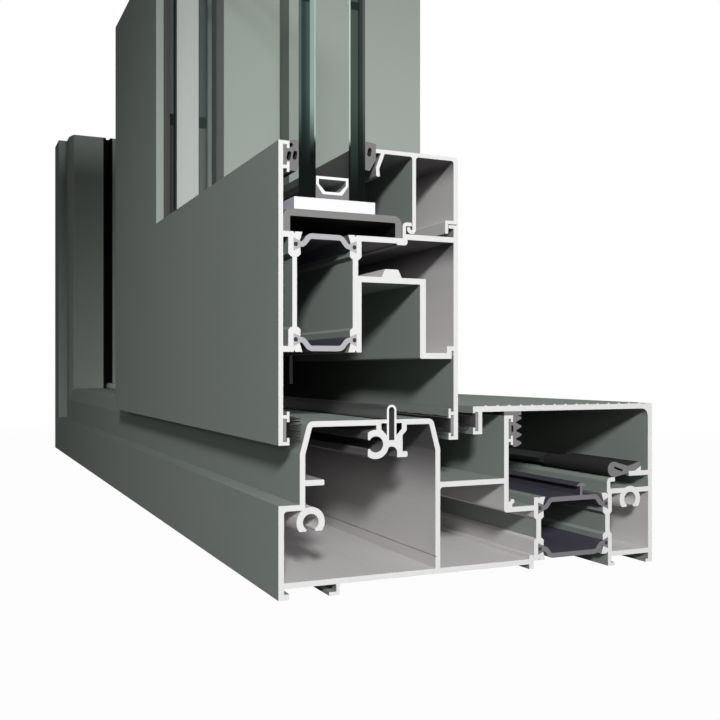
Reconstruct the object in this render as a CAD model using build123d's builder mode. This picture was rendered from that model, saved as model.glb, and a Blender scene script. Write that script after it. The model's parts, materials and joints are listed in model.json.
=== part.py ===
from build123d import *
from math import sqrt
import os

# Corner sample of a sliding patio door: sill, jamb, one sliding sash and a fixed mullion.
# Millimetres. X runs along the sill, from the jamb at the left to the cut face at the
# right. Y is depth, from the outer face towards the room. Z is height above the
# underside of the sill. The origin is the middle of the footprint.
# A section is drawn as (depth from the outer face, height from the corner of its member).

# Overall sizes
sample_length = 660.0
sample_height = 292.0
frame_depth = 155.0
sash_depth = 67.2
sash_width = 99.6
sash_gap = 50.6
sash_lap = 289.6

# Wall thicknesses
frame_wall = 1.9
sash_wall = 1.6
sash_face_wall = 1.8
bead_wall = 1.4
lip = 1.2
nib = 0.9

# Corner radii that the die leaves
small_radius = 0.5
port_tip_radius = 0.45
chamber_radius = 1.2
shoulder_radius = 2.4

# Front shell of the frame
ledge_height = 30.9
rail_front = 7.4
rail_back = 60.0
rail_height = 58.3
shoulder_height = 47.5
shoulder_inset = 2.9
floor_height = 3.7
floor_end = 99.4
foot_return = 3.8
middle_foot = 21.6
end_foot_height = 1.9
end_foot_top = 7.0
end_foot_wall = 2.0
shelf_height = 35.9
back_wall = 88.4
back_wall_top = 58.7
back_web_top = 25.3
nib_shelf_top = 38.9
nib_shelf_end = 16.1
score_height = 9.6
score_depth = 0.4

# Stub on the back web that an end plate hooks on
stub_reach = 1.6
stub_radius = 0.9
stub_lift = 2.0

# Pocket that holds the rail clip, and the leg beside its screw port
clip_middle = 41.0
clip_width = 3.6
clip_wall = 0.75
clip_top = 63.3
clip_end_gap = 2.0
pocket_floor = 51.2
pocket_throat = 52.8
pocket_shoulder = 55.0
pocket_top = 57.0
pocket_half = 3.9
funnel_drop = 0.6
arch_radius = 2.1
arch_height = 46.9
leg_wall = 2.1
leg_foot = 45.2
leg_foot_height = 2.0
leg_foot_reach = 1.9

# Screw ports
port_outer = 5.0
port_inner = 2.75
port_mouth = 3.0
port_cut = 3.0
front_port = (11.25, 25.0)
rail_port = (35.0, 49.9)
rear_port_inset = 10.9
rear_port_height = 25.2

# Slots for brushes and gaskets
slot_depth = 3.8
slot_tee = 1.7
brush_slot = 9.3
gasket_slot = 8.5
back_wall_slot = 9.1
slot_play = 0.1

# Isolator strips
isolator_thickness = 1.8
isolator_offset = 2.9
isolator_neck = 3.4
isolator_knee = 5.6
isolator_bend = 2.2
head_half = 2.2
head_flank = 0.46
head_length = 2.4

# Seats that grip the heads of the strips
seat_wall = 1.8
seat_half = 4.1
jaw_reach = 3.1
jaw_tip = 2.2
jaw_lobe = 2.5
jaw_lobe_bevel = 0.9
jaw_notch = 0.7
column_wall = 2.1
column_inset = 0.8

# Where the strips lie in the frame and in the sash
frame_isolator_front = 101.3
rear_shell_depth = 21.5
frame_isolator_low = 9.0
frame_isolator_high = 24.1
sash_isolator_front = 5.2
sash_isolator_rear = 27.85
sash_isolator_low = 34.7
sash_isolator_high = 66.0

# T nib on the upper strip of the frame
tee_share = 0.7
tee_stem = 1.0
tee_stem_height = 3.4
tee_head = 4.2
tee_rise = 1.3

# Rear shell of the frame
rear_web_top = 29.6
rear_floor_top = 5.5
rear_wall_height = 32.5
rear_hook_top = 33.9
rear_hook_reach = 3.8
rear_hook_back = 0.5
rear_hook_radius = 1.8
rear_foot_return = 3.2
rear_foot_wall = 1.6

# Inner shell of the sash, with the channel for the rollers
roller_wall = 54.3
roller_wall_thickness = 2.3
roller_roof_top = 56.4
roller_roof = 2.0
outer_column = 0.4
roller_column = 3.25
upper_column = 2.0
boss_base = 7.7
boss_top = 5.0
boss_height = 2.8
drip_web_top = 30.6
drip_web = 2.0
drip_step = 33.0
drip_step_start = 62.7
glazing_step = 2.4
glazing_step_start = 43.1
bead_web_top = 71.6
bead_post = 45.2
post_wall = 1.3
post_hook = 48.8
post_radius = 1.6
bead_post_top = 75.7
bead_catch_top = 75.9
catch_reach = 2.0

# Glazing bead
bead_top = 100.0
bead_front = 35.0
bead_middle = 50.4
bead_clearance = 0.3
bead_outer_radius = 1.6
bead_inner_radius = 1.0
bead_leg_wall = 1.3
bead_leg_root = 2.2
bead_leg_knee = 93.6
bead_leg_end = 90.6
bead_leg_tilt = 0.2
bead_foot_reach = 2.0
bead_foot_lift = 0.9
bead_foot_curl = 0.1
bead_foot_rise = 1.9
bead_foot_bend = 0.9
bracket_reach = 3.4
bracket_nib = 1.2
bracket_drop = 1.2

# Sealed glass unit
glass_front = 7.0
pane_thickness = 6.0
pane_gap = 12.0
glass_edge = 81.6
spacer_low = 83.1
spacer_high = 89.0
spacer_shoulder = 2.6
spacer_wall = 0.9
spacer_taper = 2.3
spacer_play = 0.2

# Glazing gaskets
gasket_swell = 0.3
gasket_hole = 0.7
gasket_slot_hole = 3.0
gasket_hole_tilt = 80.0
outer_gasket_drop = 1.9
wedge_low = 92.2
wedge_middle = 96.2
wedge_top = 2.0
wedge_nose = 1.6
wedge_heel = 4.2
wedge_hole_height = 98.6

# Packing under the glass
block_front = 5.4
block_rear = 34.7
block_length = 110.0
block_thickness = 4.0
bridge_rear = 44.8
bridge_thickness = 2.4
bridge_radius = 2.8

# Threshold cover
cover_front = 73.4
cover_top = 62.2
cover_wall = 2.0
cover_pocket_bottom = 52.2
cover_pocket_wall = 77.2
rib_first = 78.7
rib_pitch = 5.0
rib_end = 6.0
rib_base = 1.2
rib_crown = 0.5
rib_rise = 0.4
cover_radius = 3.0
tab_height = 36.0
tab_length = 9.4
tab_ramp_start = 2.9
tab_ramp = 3.0
tab_ramp_rise = 1.8

# Toothed gasket in the back wall
tooth_count = 4
tooth_pitch = 3.05
tooth_first = 48.5
tooth_half = 1.3
tooth_blunt = 0.3
gasket_reach = 3.6
gasket_core = 1.4
core_hole = 2.5

# Gasket clipped between the cover's tab and the hook below it
clip_gasket_length = 42.0
lobe_radius = 2.9
lobe_height = 37.0
arm_root = 2.2
arm_tip = 39.5
arm_back = 0.9
arm_waist = 38.0
clip_gasket_slit = 0.8
arm_tilt = -20.0
clip_gasket_lap = 0.4
clip_gasket_floor = 35.2

# Fixed mullion
mullion_face = 194.7
mullion_width = 95.0
mullion_front = 73.8
mullion_wall = 2.0
mullion_body = 60.0

# Fixed light beside the mullion
fixed_glass_edge = 40.0
mullion_glass_edge = 65.0
fixed_gasket_thickness = 3.2
fixed_gasket_low = 52.0
fixed_gasket_swell = 0.6
fixed_bead_wall = 1.5
fixed_seal_width = 7.0
fixed_block_start = 60.0
fixed_block_length = 80.0
fixed_block_wall = 3.0
fin_gasket_width = 11.0
fin_gasket_inset = 1.0
bead_gasket_width = 10.0

# Roller carriage
carriage_start = 125.0
carriage_length = 100.0
carriage_gap = 1.5
wheel_radius = 11.0
wheel_width = 9.0
wheel_groove = 1.5
axle_radius = 3.0
wheel_inset = 22.0
wheel_clearance = 0.3
housing_wall = 1.6
housing_skirt = 4.0

# Cover strip on the stile
strip_width = 23.5
strip_return = 8.0
strip_foot = 6.0
strip_foot_wall = 1.2

# Brushes
pile_clearance = 0.4
threshold_backing = 1.2
threshold_pile_low = 3.0
threshold_pile_high = 2.8

# Places worked out from the sizes above
cut_face = sample_length / 2
outer_face = -frame_depth / 2
frame_corner = (cut_face - sample_length, 0.0)
sash_corner = (cut_face - sash_lap, sash_gap)
frame_isolator_rear = frame_depth - rear_shell_depth
rear_hook = frame_isolator_rear - rear_hook_back
rear_port = (frame_depth - rear_port_inset, rear_port_height)
frame_strip_top = frame_isolator_high + isolator_offset + isolator_thickness / 2
tab_end = frame_depth - cover_wall
tab_front = tab_end - tab_length
rib_count = int((frame_depth - rib_end - rib_first) // rib_pitch) + 1
mullion_right = cut_face - mullion_face
mullion_foot = cover_top + rib_rise
cover_left = mullion_right - mullion_body
pane_low = sash_gap + glass_edge
pane_left = sash_corner[0] + glass_edge
glass_inner = glass_front + pane_thickness + pane_gap
glass_rear = glass_inner + pane_thickness
block_bottom = pane_low - block_thickness
fixed_glass_front = back_wall - frame_wall + slot_depth + gasket_reach
fixed_glass_inner = fixed_glass_front + pane_thickness + pane_gap
fixed_glass_rear = fixed_glass_inner + pane_thickness
fixed_bead_front = fixed_glass_rear + fixed_gasket_thickness
fixed_left = frame_corner[0] + fixed_glass_edge
fixed_right = mullion_right - mullion_glass_edge

os.makedirs("parts", exist_ok=True)


def save(piece, name):
    """Label a finished piece and write it as its own file."""
    piece.part.label = name
    export_step(piece.part, f"parts/{name}.step")


def wall(points, thickness, side=Side.RIGHT, radii=0):
    """A bent wall: one face runs through the points, the other lies beside it."""
    with BuildLine() as outline:
        FilletPolyline(*points, radius=radii)
        offset(amount=thickness, kind=Kind.INTERSECTION, side=side)
    make_face(outline.edges())


def plate(low, high, mode=Mode.ADD):
    """A straight web between two opposite corners of its section."""
    with Locations(((low[0] + high[0]) / 2, (low[1] + high[1]) / 2)):
        Rectangle(abs(high[0] - low[0]), abs(high[1] - low[1]), mode=mode)


def shape(points, radii=0, mode=Mode.ADD):
    """A solid corner of the section, given by its outline."""
    with BuildLine() as outline:
        FilletPolyline(*points, radius=radii, close=True)
    make_face(outline.edges(), mode=mode)


def round_corners(radius, *places):
    """Round the corners of the section that lie at these places."""
    corners = [min(vertices(), key=lambda corner: (corner.center() - Vector(*place)).length)
               for place in places]
    fillet(corners, radius=radius)


def along_sill(section, corner, end=cut_face):
    """Run a section along the bottom as far as end, mitred at the corner."""
    corner_x, corner_z = corner
    plane = Plane(origin=(corner_x, outer_face, corner_z), x_dir=(0, 1, 0), z_dir=(1, 0, 0))
    mitre = Plane(origin=(corner_x, outer_face, corner_z), x_dir=(0, 1, 0), z_dir=(1, 0, -1))
    with BuildSketch(plane) as profile:
        section()
    run = extrude(profile.sketch, amount=end - corner_x, mode=Mode.PRIVATE)
    split(run, bisect_by=mitre, keep=Keep.TOP, mode=Mode.ADD)


def along_jamb(section, corner):
    """Run a section down the left side from the top cut, mitred at the corner."""
    corner_x, corner_z = corner
    plane = Plane(origin=(corner_x, outer_face, sample_height), x_dir=(0, 1, 0), z_dir=(0, 0, -1))
    mitre = Plane(origin=(corner_x, outer_face, corner_z), x_dir=(0, 1, 0), z_dir=(1, 0, -1))
    with BuildSketch(plane) as profile:
        section()
    run = extrude(profile.sketch, amount=sample_height - corner_z, mode=Mode.PRIVATE)
    split(run, bisect_by=mitre, keep=Keep.BOTTOM, mode=Mode.ADD)


def straight_run(section, start, end=cut_face):
    """Run a section along the bottom between two places, cut square."""
    plane = Plane(origin=(start, outer_face, 0), x_dir=(0, 1, 0), z_dir=(1, 0, 0))
    with BuildSketch(plane) as profile:
        section()
    extrude(profile.sketch, amount=end - start)


def upright(section, face, foot):
    """Stand a section up from foot to the top cut, measured leftwards from face."""
    plane = Plane(origin=(face, outer_face, foot), x_dir=(0, 1, 0), z_dir=(0, 0, 1))
    with BuildSketch(plane) as profile:
        section()
    extrude(profile.sketch, amount=sample_height - foot)


def pane(front, left, low, right):
    """A sheet of glass whose outer face lies front behind the frame's outer face."""
    with BuildSketch(Plane.XZ.offset(-outer_face - front)) as sheet:
        plate((left, low), (right, sample_height))
    extrude(sheet.sketch, amount=-pane_thickness)


def lipped_slot(face, inward, end, along, length):
    """The slot for a brush or gasket: a return at the end of a wall and a T nib."""
    deep = face + inward * slot_depth
    nib_back = deep - inward * nib
    plate((face, end), (deep, end + along * lip))
    plate((nib_back, end), (deep, end + along * 2 * lip))
    stub = end + along * length
    plate((face, stub - lip / 2), (deep, stub + lip / 2))
    plate((nib_back, stub - slot_tee), (deep, stub + slot_tee))


def screw_port(centre, opening):
    """A round screw port, open on one side so that the die can form it."""
    dir_u, dir_h = opening
    with Locations(centre):
        Circle(port_outer)
        Circle(port_inner, mode=Mode.SUBTRACT)

    def at(away, across):
        return (centre[0] + dir_u * away - dir_h * across, centre[1] + dir_h * away + dir_u * across)

    plate(at(port_cut, -port_outer), at(port_outer, port_outer), mode=Mode.SUBTRACT)
    plate(at(0, -port_mouth / 2), at(port_cut, port_mouth / 2), mode=Mode.SUBTRACT)
    outer_tip = sqrt(port_outer**2 - port_cut**2)
    round_corners(port_tip_radius, at(port_cut, -port_mouth / 2), at(port_cut, port_mouth / 2),
                  at(port_cut, -outer_tip), at(port_cut, outer_tip))


def isolator_seat(back, centre, facing, flat_side):
    """The wall and the two crimped jaws that grip one isolator head."""

    def at(depth, height):
        return (back + facing * depth, centre + flat_side * height)

    plate(at(-seat_wall, -head_half), at(0, seat_half))
    tip = head_half - jaw_tip * head_flank
    shape([at(0, head_half), at(0, seat_half), at(jaw_reach, seat_half), at(jaw_tip, tip)])
    shape([at(0, seat_half), at(jaw_notch / 2, seat_half - jaw_notch), at(jaw_notch, seat_half)],
          mode=Mode.SUBTRACT)
    shape([at(-seat_wall, -head_half), at(0, -head_half),
           at(head_length, head_length * head_flank - head_half),
           at(jaw_lobe, jaw_lobe_bevel - seat_half), at(jaw_lobe - jaw_lobe_bevel, -seat_half),
           at(jaw_lobe_bevel - seat_wall, -seat_half), at(-seat_wall, jaw_lobe_bevel - seat_half)])


def isolator_strip(front, rear, centre, flat_side):
    """A polyamide strip: a flat between two dovetail heads."""

    def at(end, inward, depth, height):
        return (end + inward * depth, centre + flat_side * height)

    with BuildLine() as outline:
        FilletPolyline(at(front, 1, head_length / 2, 0), at(front, 1, isolator_neck, 0),
                       at(front, 1, isolator_knee, isolator_offset),
                       at(rear, -1, isolator_knee, isolator_offset),
                       at(rear, -1, isolator_neck, 0), at(rear, -1, head_length / 2, 0),
                       radius=isolator_bend)
        offset(amount=isolator_thickness / 2, side=Side.BOTH, kind=Kind.INTERSECTION, mode=Mode.REPLACE)
    make_face(outline.edges())
    tip = head_half - head_length * head_flank
    for end, inward in ((front, 1), (rear, -1)):
        shape([at(end, inward, 0, head_half), at(end, inward, head_length, tip),
               at(end, inward, head_length, -tip), at(end, inward, 0, -head_half)])


def hollow_box(low, high, thickness):
    """A closed rectangular tube between two opposite corners of its section."""
    plate(low, high)
    plate((low[0] + thickness, low[1] + thickness), (high[0] - thickness, high[1] - thickness),
          mode=Mode.SUBTRACT)


def rail_pocket():
    """Funnel that holds the rail clip, on a screw port and a leg with a foot."""
    clip_half = clip_width / 2
    left = clip_middle - pocket_half - frame_wall
    right = clip_middle + pocket_half + frame_wall
    leg = clip_middle + arch_radius
    shape([(left, rail_height), (left, pocket_shoulder), (clip_middle - arch_radius, arch_height),
           (leg, arch_height), (leg, leg_foot), (leg + leg_wall, leg_foot),
           (leg + leg_wall, pocket_throat), (right, pocket_shoulder - funnel_drop), (right, rail_height)])
    with Locations((clip_middle, arch_height)):
        Circle(arch_radius, mode=Mode.SUBTRACT)
    foot = leg + leg_wall + leg_foot_reach
    plate((leg, leg_foot), (foot, leg_foot + leg_foot_height))
    round_corners(small_radius, (foot, leg_foot), (foot, leg_foot + leg_foot_height))
    screw_port(rail_port, (-1, 0))
    shape([(clip_middle - pocket_half, pocket_top), (clip_middle + pocket_half, pocket_top),
           (clip_middle + pocket_half, pocket_shoulder), (clip_middle + clip_half, pocket_throat),
           (clip_middle + clip_half, pocket_floor), (clip_middle - clip_half, pocket_floor),
           (clip_middle - clip_half, pocket_throat), (clip_middle - pocket_half, pocket_shoulder)],
          mode=Mode.SUBTRACT)
    plate((clip_middle - clip_half, pocket_floor), (clip_middle + clip_half, rail_height),
          mode=Mode.SUBTRACT)


def front_shell_section():
    """Outer aluminium shell of the frame, from the outer face to the thermal break."""
    wall([(foot_return, 0), (0, 0), (0, ledge_height), (rail_front, ledge_height),
          (rail_front, shoulder_height), (rail_front + shoulder_inset, rail_height),
          (rail_back - shoulder_inset, rail_height), (rail_back, shoulder_height),
          (rail_back, floor_height)],
         frame_wall, radii=[0, 0, 0, 0, shoulder_radius, shoulder_radius, 0])
    plate((0, floor_height), (floor_end, floor_height + frame_wall))
    plate((middle_foot - lip, 0), (middle_foot, floor_height))
    plate((middle_foot - foot_return, 0), (middle_foot, lip))
    plate((floor_end - end_foot_wall, end_foot_height), (floor_end, end_foot_top))
    nib_shelf = nib_shelf_top - frame_wall
    plate((rail_front, nib_shelf), (nib_shelf_end, nib_shelf_top))
    round_corners(small_radius, (nib_shelf_end, nib_shelf_top), (nib_shelf_end, nib_shelf))
    screw_port(front_port, (0, -1))
    rail_pocket()
    # Channel behind the rail and the wall that carries the threshold cover
    inner = back_wall - frame_wall
    plate((rail_back - frame_wall, shelf_height - frame_wall), (back_wall, shelf_height))
    plate((inner, back_web_top - frame_wall), (back_wall, back_wall_top))
    lipped_slot(inner, 1, back_wall_top, -1, back_wall_slot)
    plate((inner, back_web_top - frame_wall), (frame_isolator_front - seat_wall, back_web_top))
    round_corners(chamber_radius, (frame_wall, ledge_height - frame_wall),
                  (rail_back, shelf_height - frame_wall), (inner, back_web_top - frame_wall))
    plate((back_wall, back_web_top), (back_wall + stub_reach, back_web_top + stub_lift))
    with Locations((back_wall + stub_reach, back_web_top + stub_lift)):
        Circle(stub_radius)
    for centre, side in ((frame_isolator_high, 1), (frame_isolator_low, -1)):
        isolator_seat(frame_isolator_front, centre, 1, side)
    column = frame_isolator_front - column_inset
    plate((column, frame_isolator_low + head_half),
          (column + column_wall, frame_isolator_high - head_half))
    score = rail_back - frame_wall
    plate((score, score_height), (score + score_depth, score_height + score_depth), mode=Mode.SUBTRACT)


def rear_shell_section():
    """Inner aluminium shell of the frame, on the room side of the thermal break."""
    plate((frame_depth - frame_wall, 0), (frame_depth, rear_wall_height))
    plate((frame_isolator_rear, rear_web_top - frame_wall), (frame_depth, rear_web_top))
    plate((frame_isolator_rear, rear_floor_top - frame_wall), (frame_depth, rear_floor_top))
    plate((frame_isolator_rear, 0), (frame_isolator_rear + rear_foot_wall, rear_floor_top))
    plate((frame_isolator_rear, 0), (frame_isolator_rear + rear_foot_return, lip))
    plate((frame_depth - rear_foot_return, 0), (frame_depth, lip))
    wall([(rear_hook, rear_web_top - frame_wall), (rear_hook, rear_hook_top),
          (rear_hook + rear_hook_reach, rear_hook_top)], sash_wall, radii=[rear_hook_radius])
    screw_port(rear_port, (0, -1))
    for centre, side in ((frame_isolator_high, 1), (frame_isolator_low, -1)):
        isolator_seat(frame_isolator_rear, centre, -1, side)
    column = frame_isolator_rear + column_inset
    plate((column - column_wall, frame_isolator_low + head_half),
          (column, frame_isolator_high - head_half))


def lower_isolator_section():
    """The lower strip between the shells of the frame."""
    isolator_strip(frame_isolator_front, frame_isolator_rear, frame_isolator_low, -1)


def upper_isolator_section():
    """The upper strip, with the T nib that stands on it."""
    isolator_strip(frame_isolator_front, frame_isolator_rear, frame_isolator_high, 1)
    knee = frame_isolator_front + isolator_knee + isolator_thickness
    flat = frame_isolator_rear - isolator_knee - isolator_thickness - knee
    middle = knee + tee_share * flat
    stem = tee_stem / 2
    head = frame_strip_top + tee_stem_height
    plate((middle - stem, frame_strip_top - isolator_thickness / 2), (middle + stem, head))
    cap_front = (middle - tee_head / 2, head)
    cap_rear = (middle + tee_head / 2, head)
    with BuildLine() as cap:
        ThreePointArc(cap_front, (middle, head + tee_rise), cap_rear)
        Line(cap_front, cap_rear)
    make_face(cap.edges())


def clip_section():
    """Stainless cap of the rail, a folded strip standing in the slot."""
    half = clip_width / 2
    inner = half - clip_wall
    bend = clip_top - half
    plate((clip_middle - half, pocket_floor), (clip_middle + half, bend))
    with Locations((clip_middle, bend)):
        Circle(half)
    plate((clip_middle - inner, pocket_floor), (clip_middle + inner, bend), mode=Mode.SUBTRACT)
    with Locations((clip_middle, bend)):
        Circle(inner, mode=Mode.SUBTRACT)


def back_wall_gasket_section():
    """Toothed gasket in the back wall's slot, pressed up against the cover."""
    slot_low = back_wall_top - back_wall_slot + lip / 2 + slot_play
    slot_high = back_wall_top - lip - slot_play
    slot_middle = (slot_low + slot_high) / 2
    nib_face = back_wall - frame_wall + slot_depth
    core = nib_face + gasket_core
    tip = nib_face + gasket_reach
    plate((back_wall, slot_low), (nib_face - nib - slot_play, slot_high))
    plate((back_wall, slot_low + slot_tee - lip / 2), (nib_face, slot_high - lip))
    plate((nib_face, tooth_first - tooth_half), (core, cover_top - cover_wall))
    plate((back_wall - frame_wall, back_wall_top), (tip, cover_top - cover_wall))
    for index in range(tooth_count):
        height = tooth_first + index * tooth_pitch
        shape([(core, height - tooth_half), (tip, height - tooth_blunt), (tip, height + tooth_blunt),
               (core, height + tooth_half)])
    with Locations(((back_wall + core) / 2, slot_middle)):
        SlotOverall(core_hole, nib, rotation=90, mode=Mode.SUBTRACT)


def cover_section():
    """Threshold cover: a ribbed tread on the back wall and the inner shell."""
    wall([(cover_front, cover_top), (frame_depth, cover_top), (frame_depth, rear_wall_height)],
         cover_wall)
    round_corners(cover_radius, (tab_end, cover_top - cover_wall))
    for index in range(rib_count):
        rib = rib_first + index * rib_pitch
        shape([(rib - rib_base / 2, cover_top), (rib + rib_base / 2, cover_top),
               (rib + rib_crown / 2, mullion_foot), (rib - rib_crown / 2, mullion_foot)])
    plate((cover_pocket_wall - sash_wall, cover_pocket_bottom), (cover_pocket_wall, cover_top))
    plate((cover_front, cover_pocket_bottom), (cover_pocket_wall, cover_pocket_bottom + lip))
    plate((cover_front, cover_pocket_bottom), (cover_front + nib, cover_pocket_bottom + 2 * lip))
    plate((cover_front, cover_top - 2 * lip), (cover_front + nib, cover_top))
    plate((tab_front, tab_height - frame_wall), (tab_end, tab_height))
    ramp = tab_front + tab_ramp_start
    ramp_end = ramp + tab_ramp
    shape([(ramp, tab_height), (ramp_end, tab_height + tab_ramp_rise), (ramp_end, tab_height)])


def clip_gasket_section():
    """Gasket that rests on the inner shell's hook and laps the cover's tab."""
    middle = rear_hook + lobe_radius + clip_gasket_lap
    ramp = tab_front + tab_ramp_start
    arm_end = ramp + tab_ramp
    with Locations((middle, lobe_height)):
        Circle(lobe_radius)
    shape([(middle, lobe_height + lobe_radius), (tab_front - clip_gasket_lap, arm_waist),
           (arm_end - arm_back, arm_tip), (arm_end, arm_tip - arm_back), (ramp, tab_height),
           (tab_front, tab_height), (tab_front - clip_gasket_lap, clip_gasket_floor),
           (middle, rear_hook_top)])
    plate((rear_hook, 0), (middle + lobe_radius, rear_hook_top), mode=Mode.SUBTRACT)
    with Locations((middle + arm_root, lobe_height)):
        SlotOverall(2 * arm_root, clip_gasket_slit, rotation=arm_tilt, mode=Mode.SUBTRACT)


def cover_brush_section():
    """Brush of the threshold cover, which wipes the inner face of the sash."""
    backing = cover_pocket_wall - sash_wall
    root = backing - threshold_backing
    plate((root, cover_pocket_bottom + lip + slot_play), (backing, cover_top - cover_wall - slot_play))
    plate((sash_depth + pile_clearance, cover_pocket_bottom + threshold_pile_low),
          (root, cover_top - threshold_pile_high))


def sash_outer_section():
    """Outer aluminium shell of the sash."""
    plate((0, 0), (sash_wall, sash_width))
    lipped_slot(0, 1, 0, 1, brush_slot)
    lipped_slot(0, 1, sash_width, -1, gasket_slot)
    seat_back = sash_isolator_front - seat_wall
    for centre, side in ((sash_isolator_low, -1), (sash_isolator_high, 1)):
        isolator_seat(sash_isolator_front, centre, 1, side)
        plate((sash_wall, centre + side * head_half), (seat_back, centre + side * seat_half))
        round_corners(small_radius, (sash_wall, centre + side * head_half))
    column = sash_isolator_front - outer_column
    plate((column, sash_isolator_low + head_half), (column + sash_wall, sash_isolator_high - head_half))


def sash_inner_section():
    """Inner aluminium shell of the sash, with the channel that houses the rollers."""
    back = sash_isolator_rear + seat_wall
    face = sash_depth - sash_face_wall
    for centre, side in ((sash_isolator_low, -1), (sash_isolator_high, 1)):
        isolator_seat(sash_isolator_rear, centre, -1, side)
    column = back - roller_column
    plate((column, sash_isolator_low + head_half), (back, roller_roof_top))
    plate((column, roller_roof_top), (column + upper_column, sash_isolator_high - head_half))
    # Roof and rear wall of the roller channel
    channel_rear = roller_wall - roller_wall_thickness
    plate((back - sash_wall, roller_roof_top - roller_roof), (roller_wall, roller_roof_top))
    plate((channel_rear, drip_web_top - drip_web), (roller_wall, roller_roof_top))
    boss_roof = roller_roof_top + boss_height
    base = boss_base / 2
    top = boss_top / 2
    shape([(clip_middle - base, roller_roof_top), (clip_middle + base, roller_roof_top),
           (clip_middle + top, boss_roof), (clip_middle - top, boss_roof)])
    # Drip web and inner face
    step_end = drip_step_start + frame_wall
    plate((channel_rear, drip_web_top - drip_web), (step_end, drip_web_top))
    plate((drip_step_start, drip_web_top - drip_web), (step_end, drip_step))
    plate((drip_step_start, drip_step - sash_wall), (face, drip_step))
    plate((face, 0), (sash_depth, bead_catch_top))
    plate((face - catch_reach, bead_catch_top - lip), (face, bead_catch_top))
    lipped_slot(sash_depth, -1, 0, 1, brush_slot)
    # Glazing web, stepped up behind the post that the bead hooks under
    glazing_web = sash_isolator_high + seat_half
    step_low = glazing_web - glazing_step
    plate((back - seat_wall, glazing_web - frame_wall), (bead_post, glazing_web))
    plate((glazing_step_start, step_low), (bead_post + frame_wall, glazing_web))
    plate((bead_post, step_low), (bead_post + frame_wall, bead_web_top))
    plate((bead_post, bead_web_top - frame_wall), (face, bead_web_top))
    round_corners(chamber_radius, (bead_post + frame_wall, step_low))
    wall([(bead_post, glazing_web - lip), (bead_post, bead_post_top), (post_hook, bead_post_top)],
         post_wall, radii=[post_radius])
    round_corners(small_radius, (post_hook, bead_post_top), (channel_rear, drip_web_top - drip_web))


def bead_section():
    """Glazing bead, clipped between the post and the inner face of the sash."""
    face = sash_depth - sash_face_wall
    roof = bead_top - bead_wall
    catch = bead_catch_top + bead_clearance
    middle = bead_middle - bead_wall / 2
    foot = bead_web_top + bead_foot_lift
    plate((bead_front, roof), (sash_depth, bead_top))
    plate((face, catch), (sash_depth, bead_top))
    plate((bead_middle - bead_wall, foot + bead_foot_bend), (bead_middle, bead_top))
    round_corners(bead_outer_radius, (sash_depth, bead_top))
    round_corners(bead_inner_radius, (face, roof), (bead_middle, roof), (bead_middle - bead_wall, roof))
    # Curled foot under the post's hook
    turn = middle - bead_foot_reach
    with BuildLine() as curl:
        FilletPolyline((middle, foot + bead_foot_rise), (middle, foot), (turn, foot),
                       (turn - bead_foot_curl, bead_web_top + bead_foot_rise), radius=bead_foot_bend)
        offset(amount=bead_leg_wall / 2, side=Side.BOTH, kind=Kind.INTERSECTION, mode=Mode.REPLACE)
    make_face(curl.edges())
    # Bracket over the catch, and the leg that presses the gasket on the glass
    bracket = face - bracket_reach
    plate((bracket, catch), (face, catch + lip))
    plate((bracket, bead_web_top + bracket_drop), (bracket + bracket_nib, catch + lip))
    wall([(bead_front + bead_leg_root, roof + bead_wall / 2), (bead_front, bead_leg_knee),
          (bead_front + bead_leg_tilt, bead_leg_end)], bead_leg_wall, Side.LEFT)
    round_corners(small_radius, (bead_front, bead_top), (bead_front + bead_leg_tilt, bead_leg_end),
                  (bracket, catch + lip))


def outer_gasket_section():
    """Hollow glazing gasket between the outer shell and the glass."""
    slot_low = sash_width - gasket_slot + lip / 2 + slot_play
    slot_high = sash_width - lip - slot_play
    body_low = slot_low - outer_gasket_drop
    body_high = sash_width + gasket_swell
    plate((sash_wall, slot_low), (slot_depth - nib - slot_play, slot_high))
    plate((sash_wall, slot_low + slot_tee - lip / 2), (slot_depth + gasket_swell, slot_high - lip))
    shape([(slot_depth, body_low), (glass_front - gasket_hole, body_low),
           (glass_front, body_low + slot_tee), (glass_front, body_high),
           (glass_front - 2 * gasket_hole, body_high + gasket_swell), (slot_depth, body_high)],
          radii=[0, small_radius, small_radius, 0, 0, 0])
    middle = (sash_wall + glass_front) / 2
    slot_middle = (slot_low + slot_high) / 2
    with Locations((middle, slot_high)):
        Circle(gasket_hole, mode=Mode.SUBTRACT)
    with Locations((middle - gasket_hole, slot_middle - gasket_swell),
                   (middle + 2 * gasket_hole, slot_middle)):
        SlotOverall(gasket_slot_hole, 2 * gasket_hole, rotation=gasket_hole_tilt, mode=Mode.SUBTRACT)


def inner_gasket_section():
    """Wedge gasket pressed between the glass and the bead."""
    shape([(glass_rear, wedge_low + gasket_swell), (glass_rear + wedge_nose, wedge_low),
           (bead_front, wedge_middle), (bead_front, bead_top),
           (glass_rear + wedge_heel, bead_top + wedge_nose),
           (glass_rear + wedge_nose, bead_top + wedge_top), (glass_rear, bead_top + wedge_top)],
          radii=[0, small_radius, 0, 0, small_radius, 0, 0])
    with Locations((glass_rear + wedge_nose, wedge_hole_height)):
        SlotOverall(gasket_slot_hole, 2 * gasket_hole, rotation=gasket_hole_tilt, mode=Mode.SUBTRACT)


def spacer_outline(inset, mode=Mode.ADD):
    """Outline of the spacer between the panes, tapered towards the glass edge."""
    front = glass_front + pane_thickness + spacer_play + inset
    rear = glass_inner - spacer_play - inset
    shoulder = spacer_high - spacer_shoulder
    shape([(front, spacer_high - inset), (rear, spacer_high - inset), (rear, shoulder),
           (rear - spacer_taper, spacer_low + inset), (front + spacer_taper, spacer_low + inset),
           (front, shoulder)], mode=mode)


def spacer_section():
    """Hollow aluminium spacer of the glass unit."""
    spacer_outline(0)
    spacer_outline(spacer_wall, mode=Mode.SUBTRACT)


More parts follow.
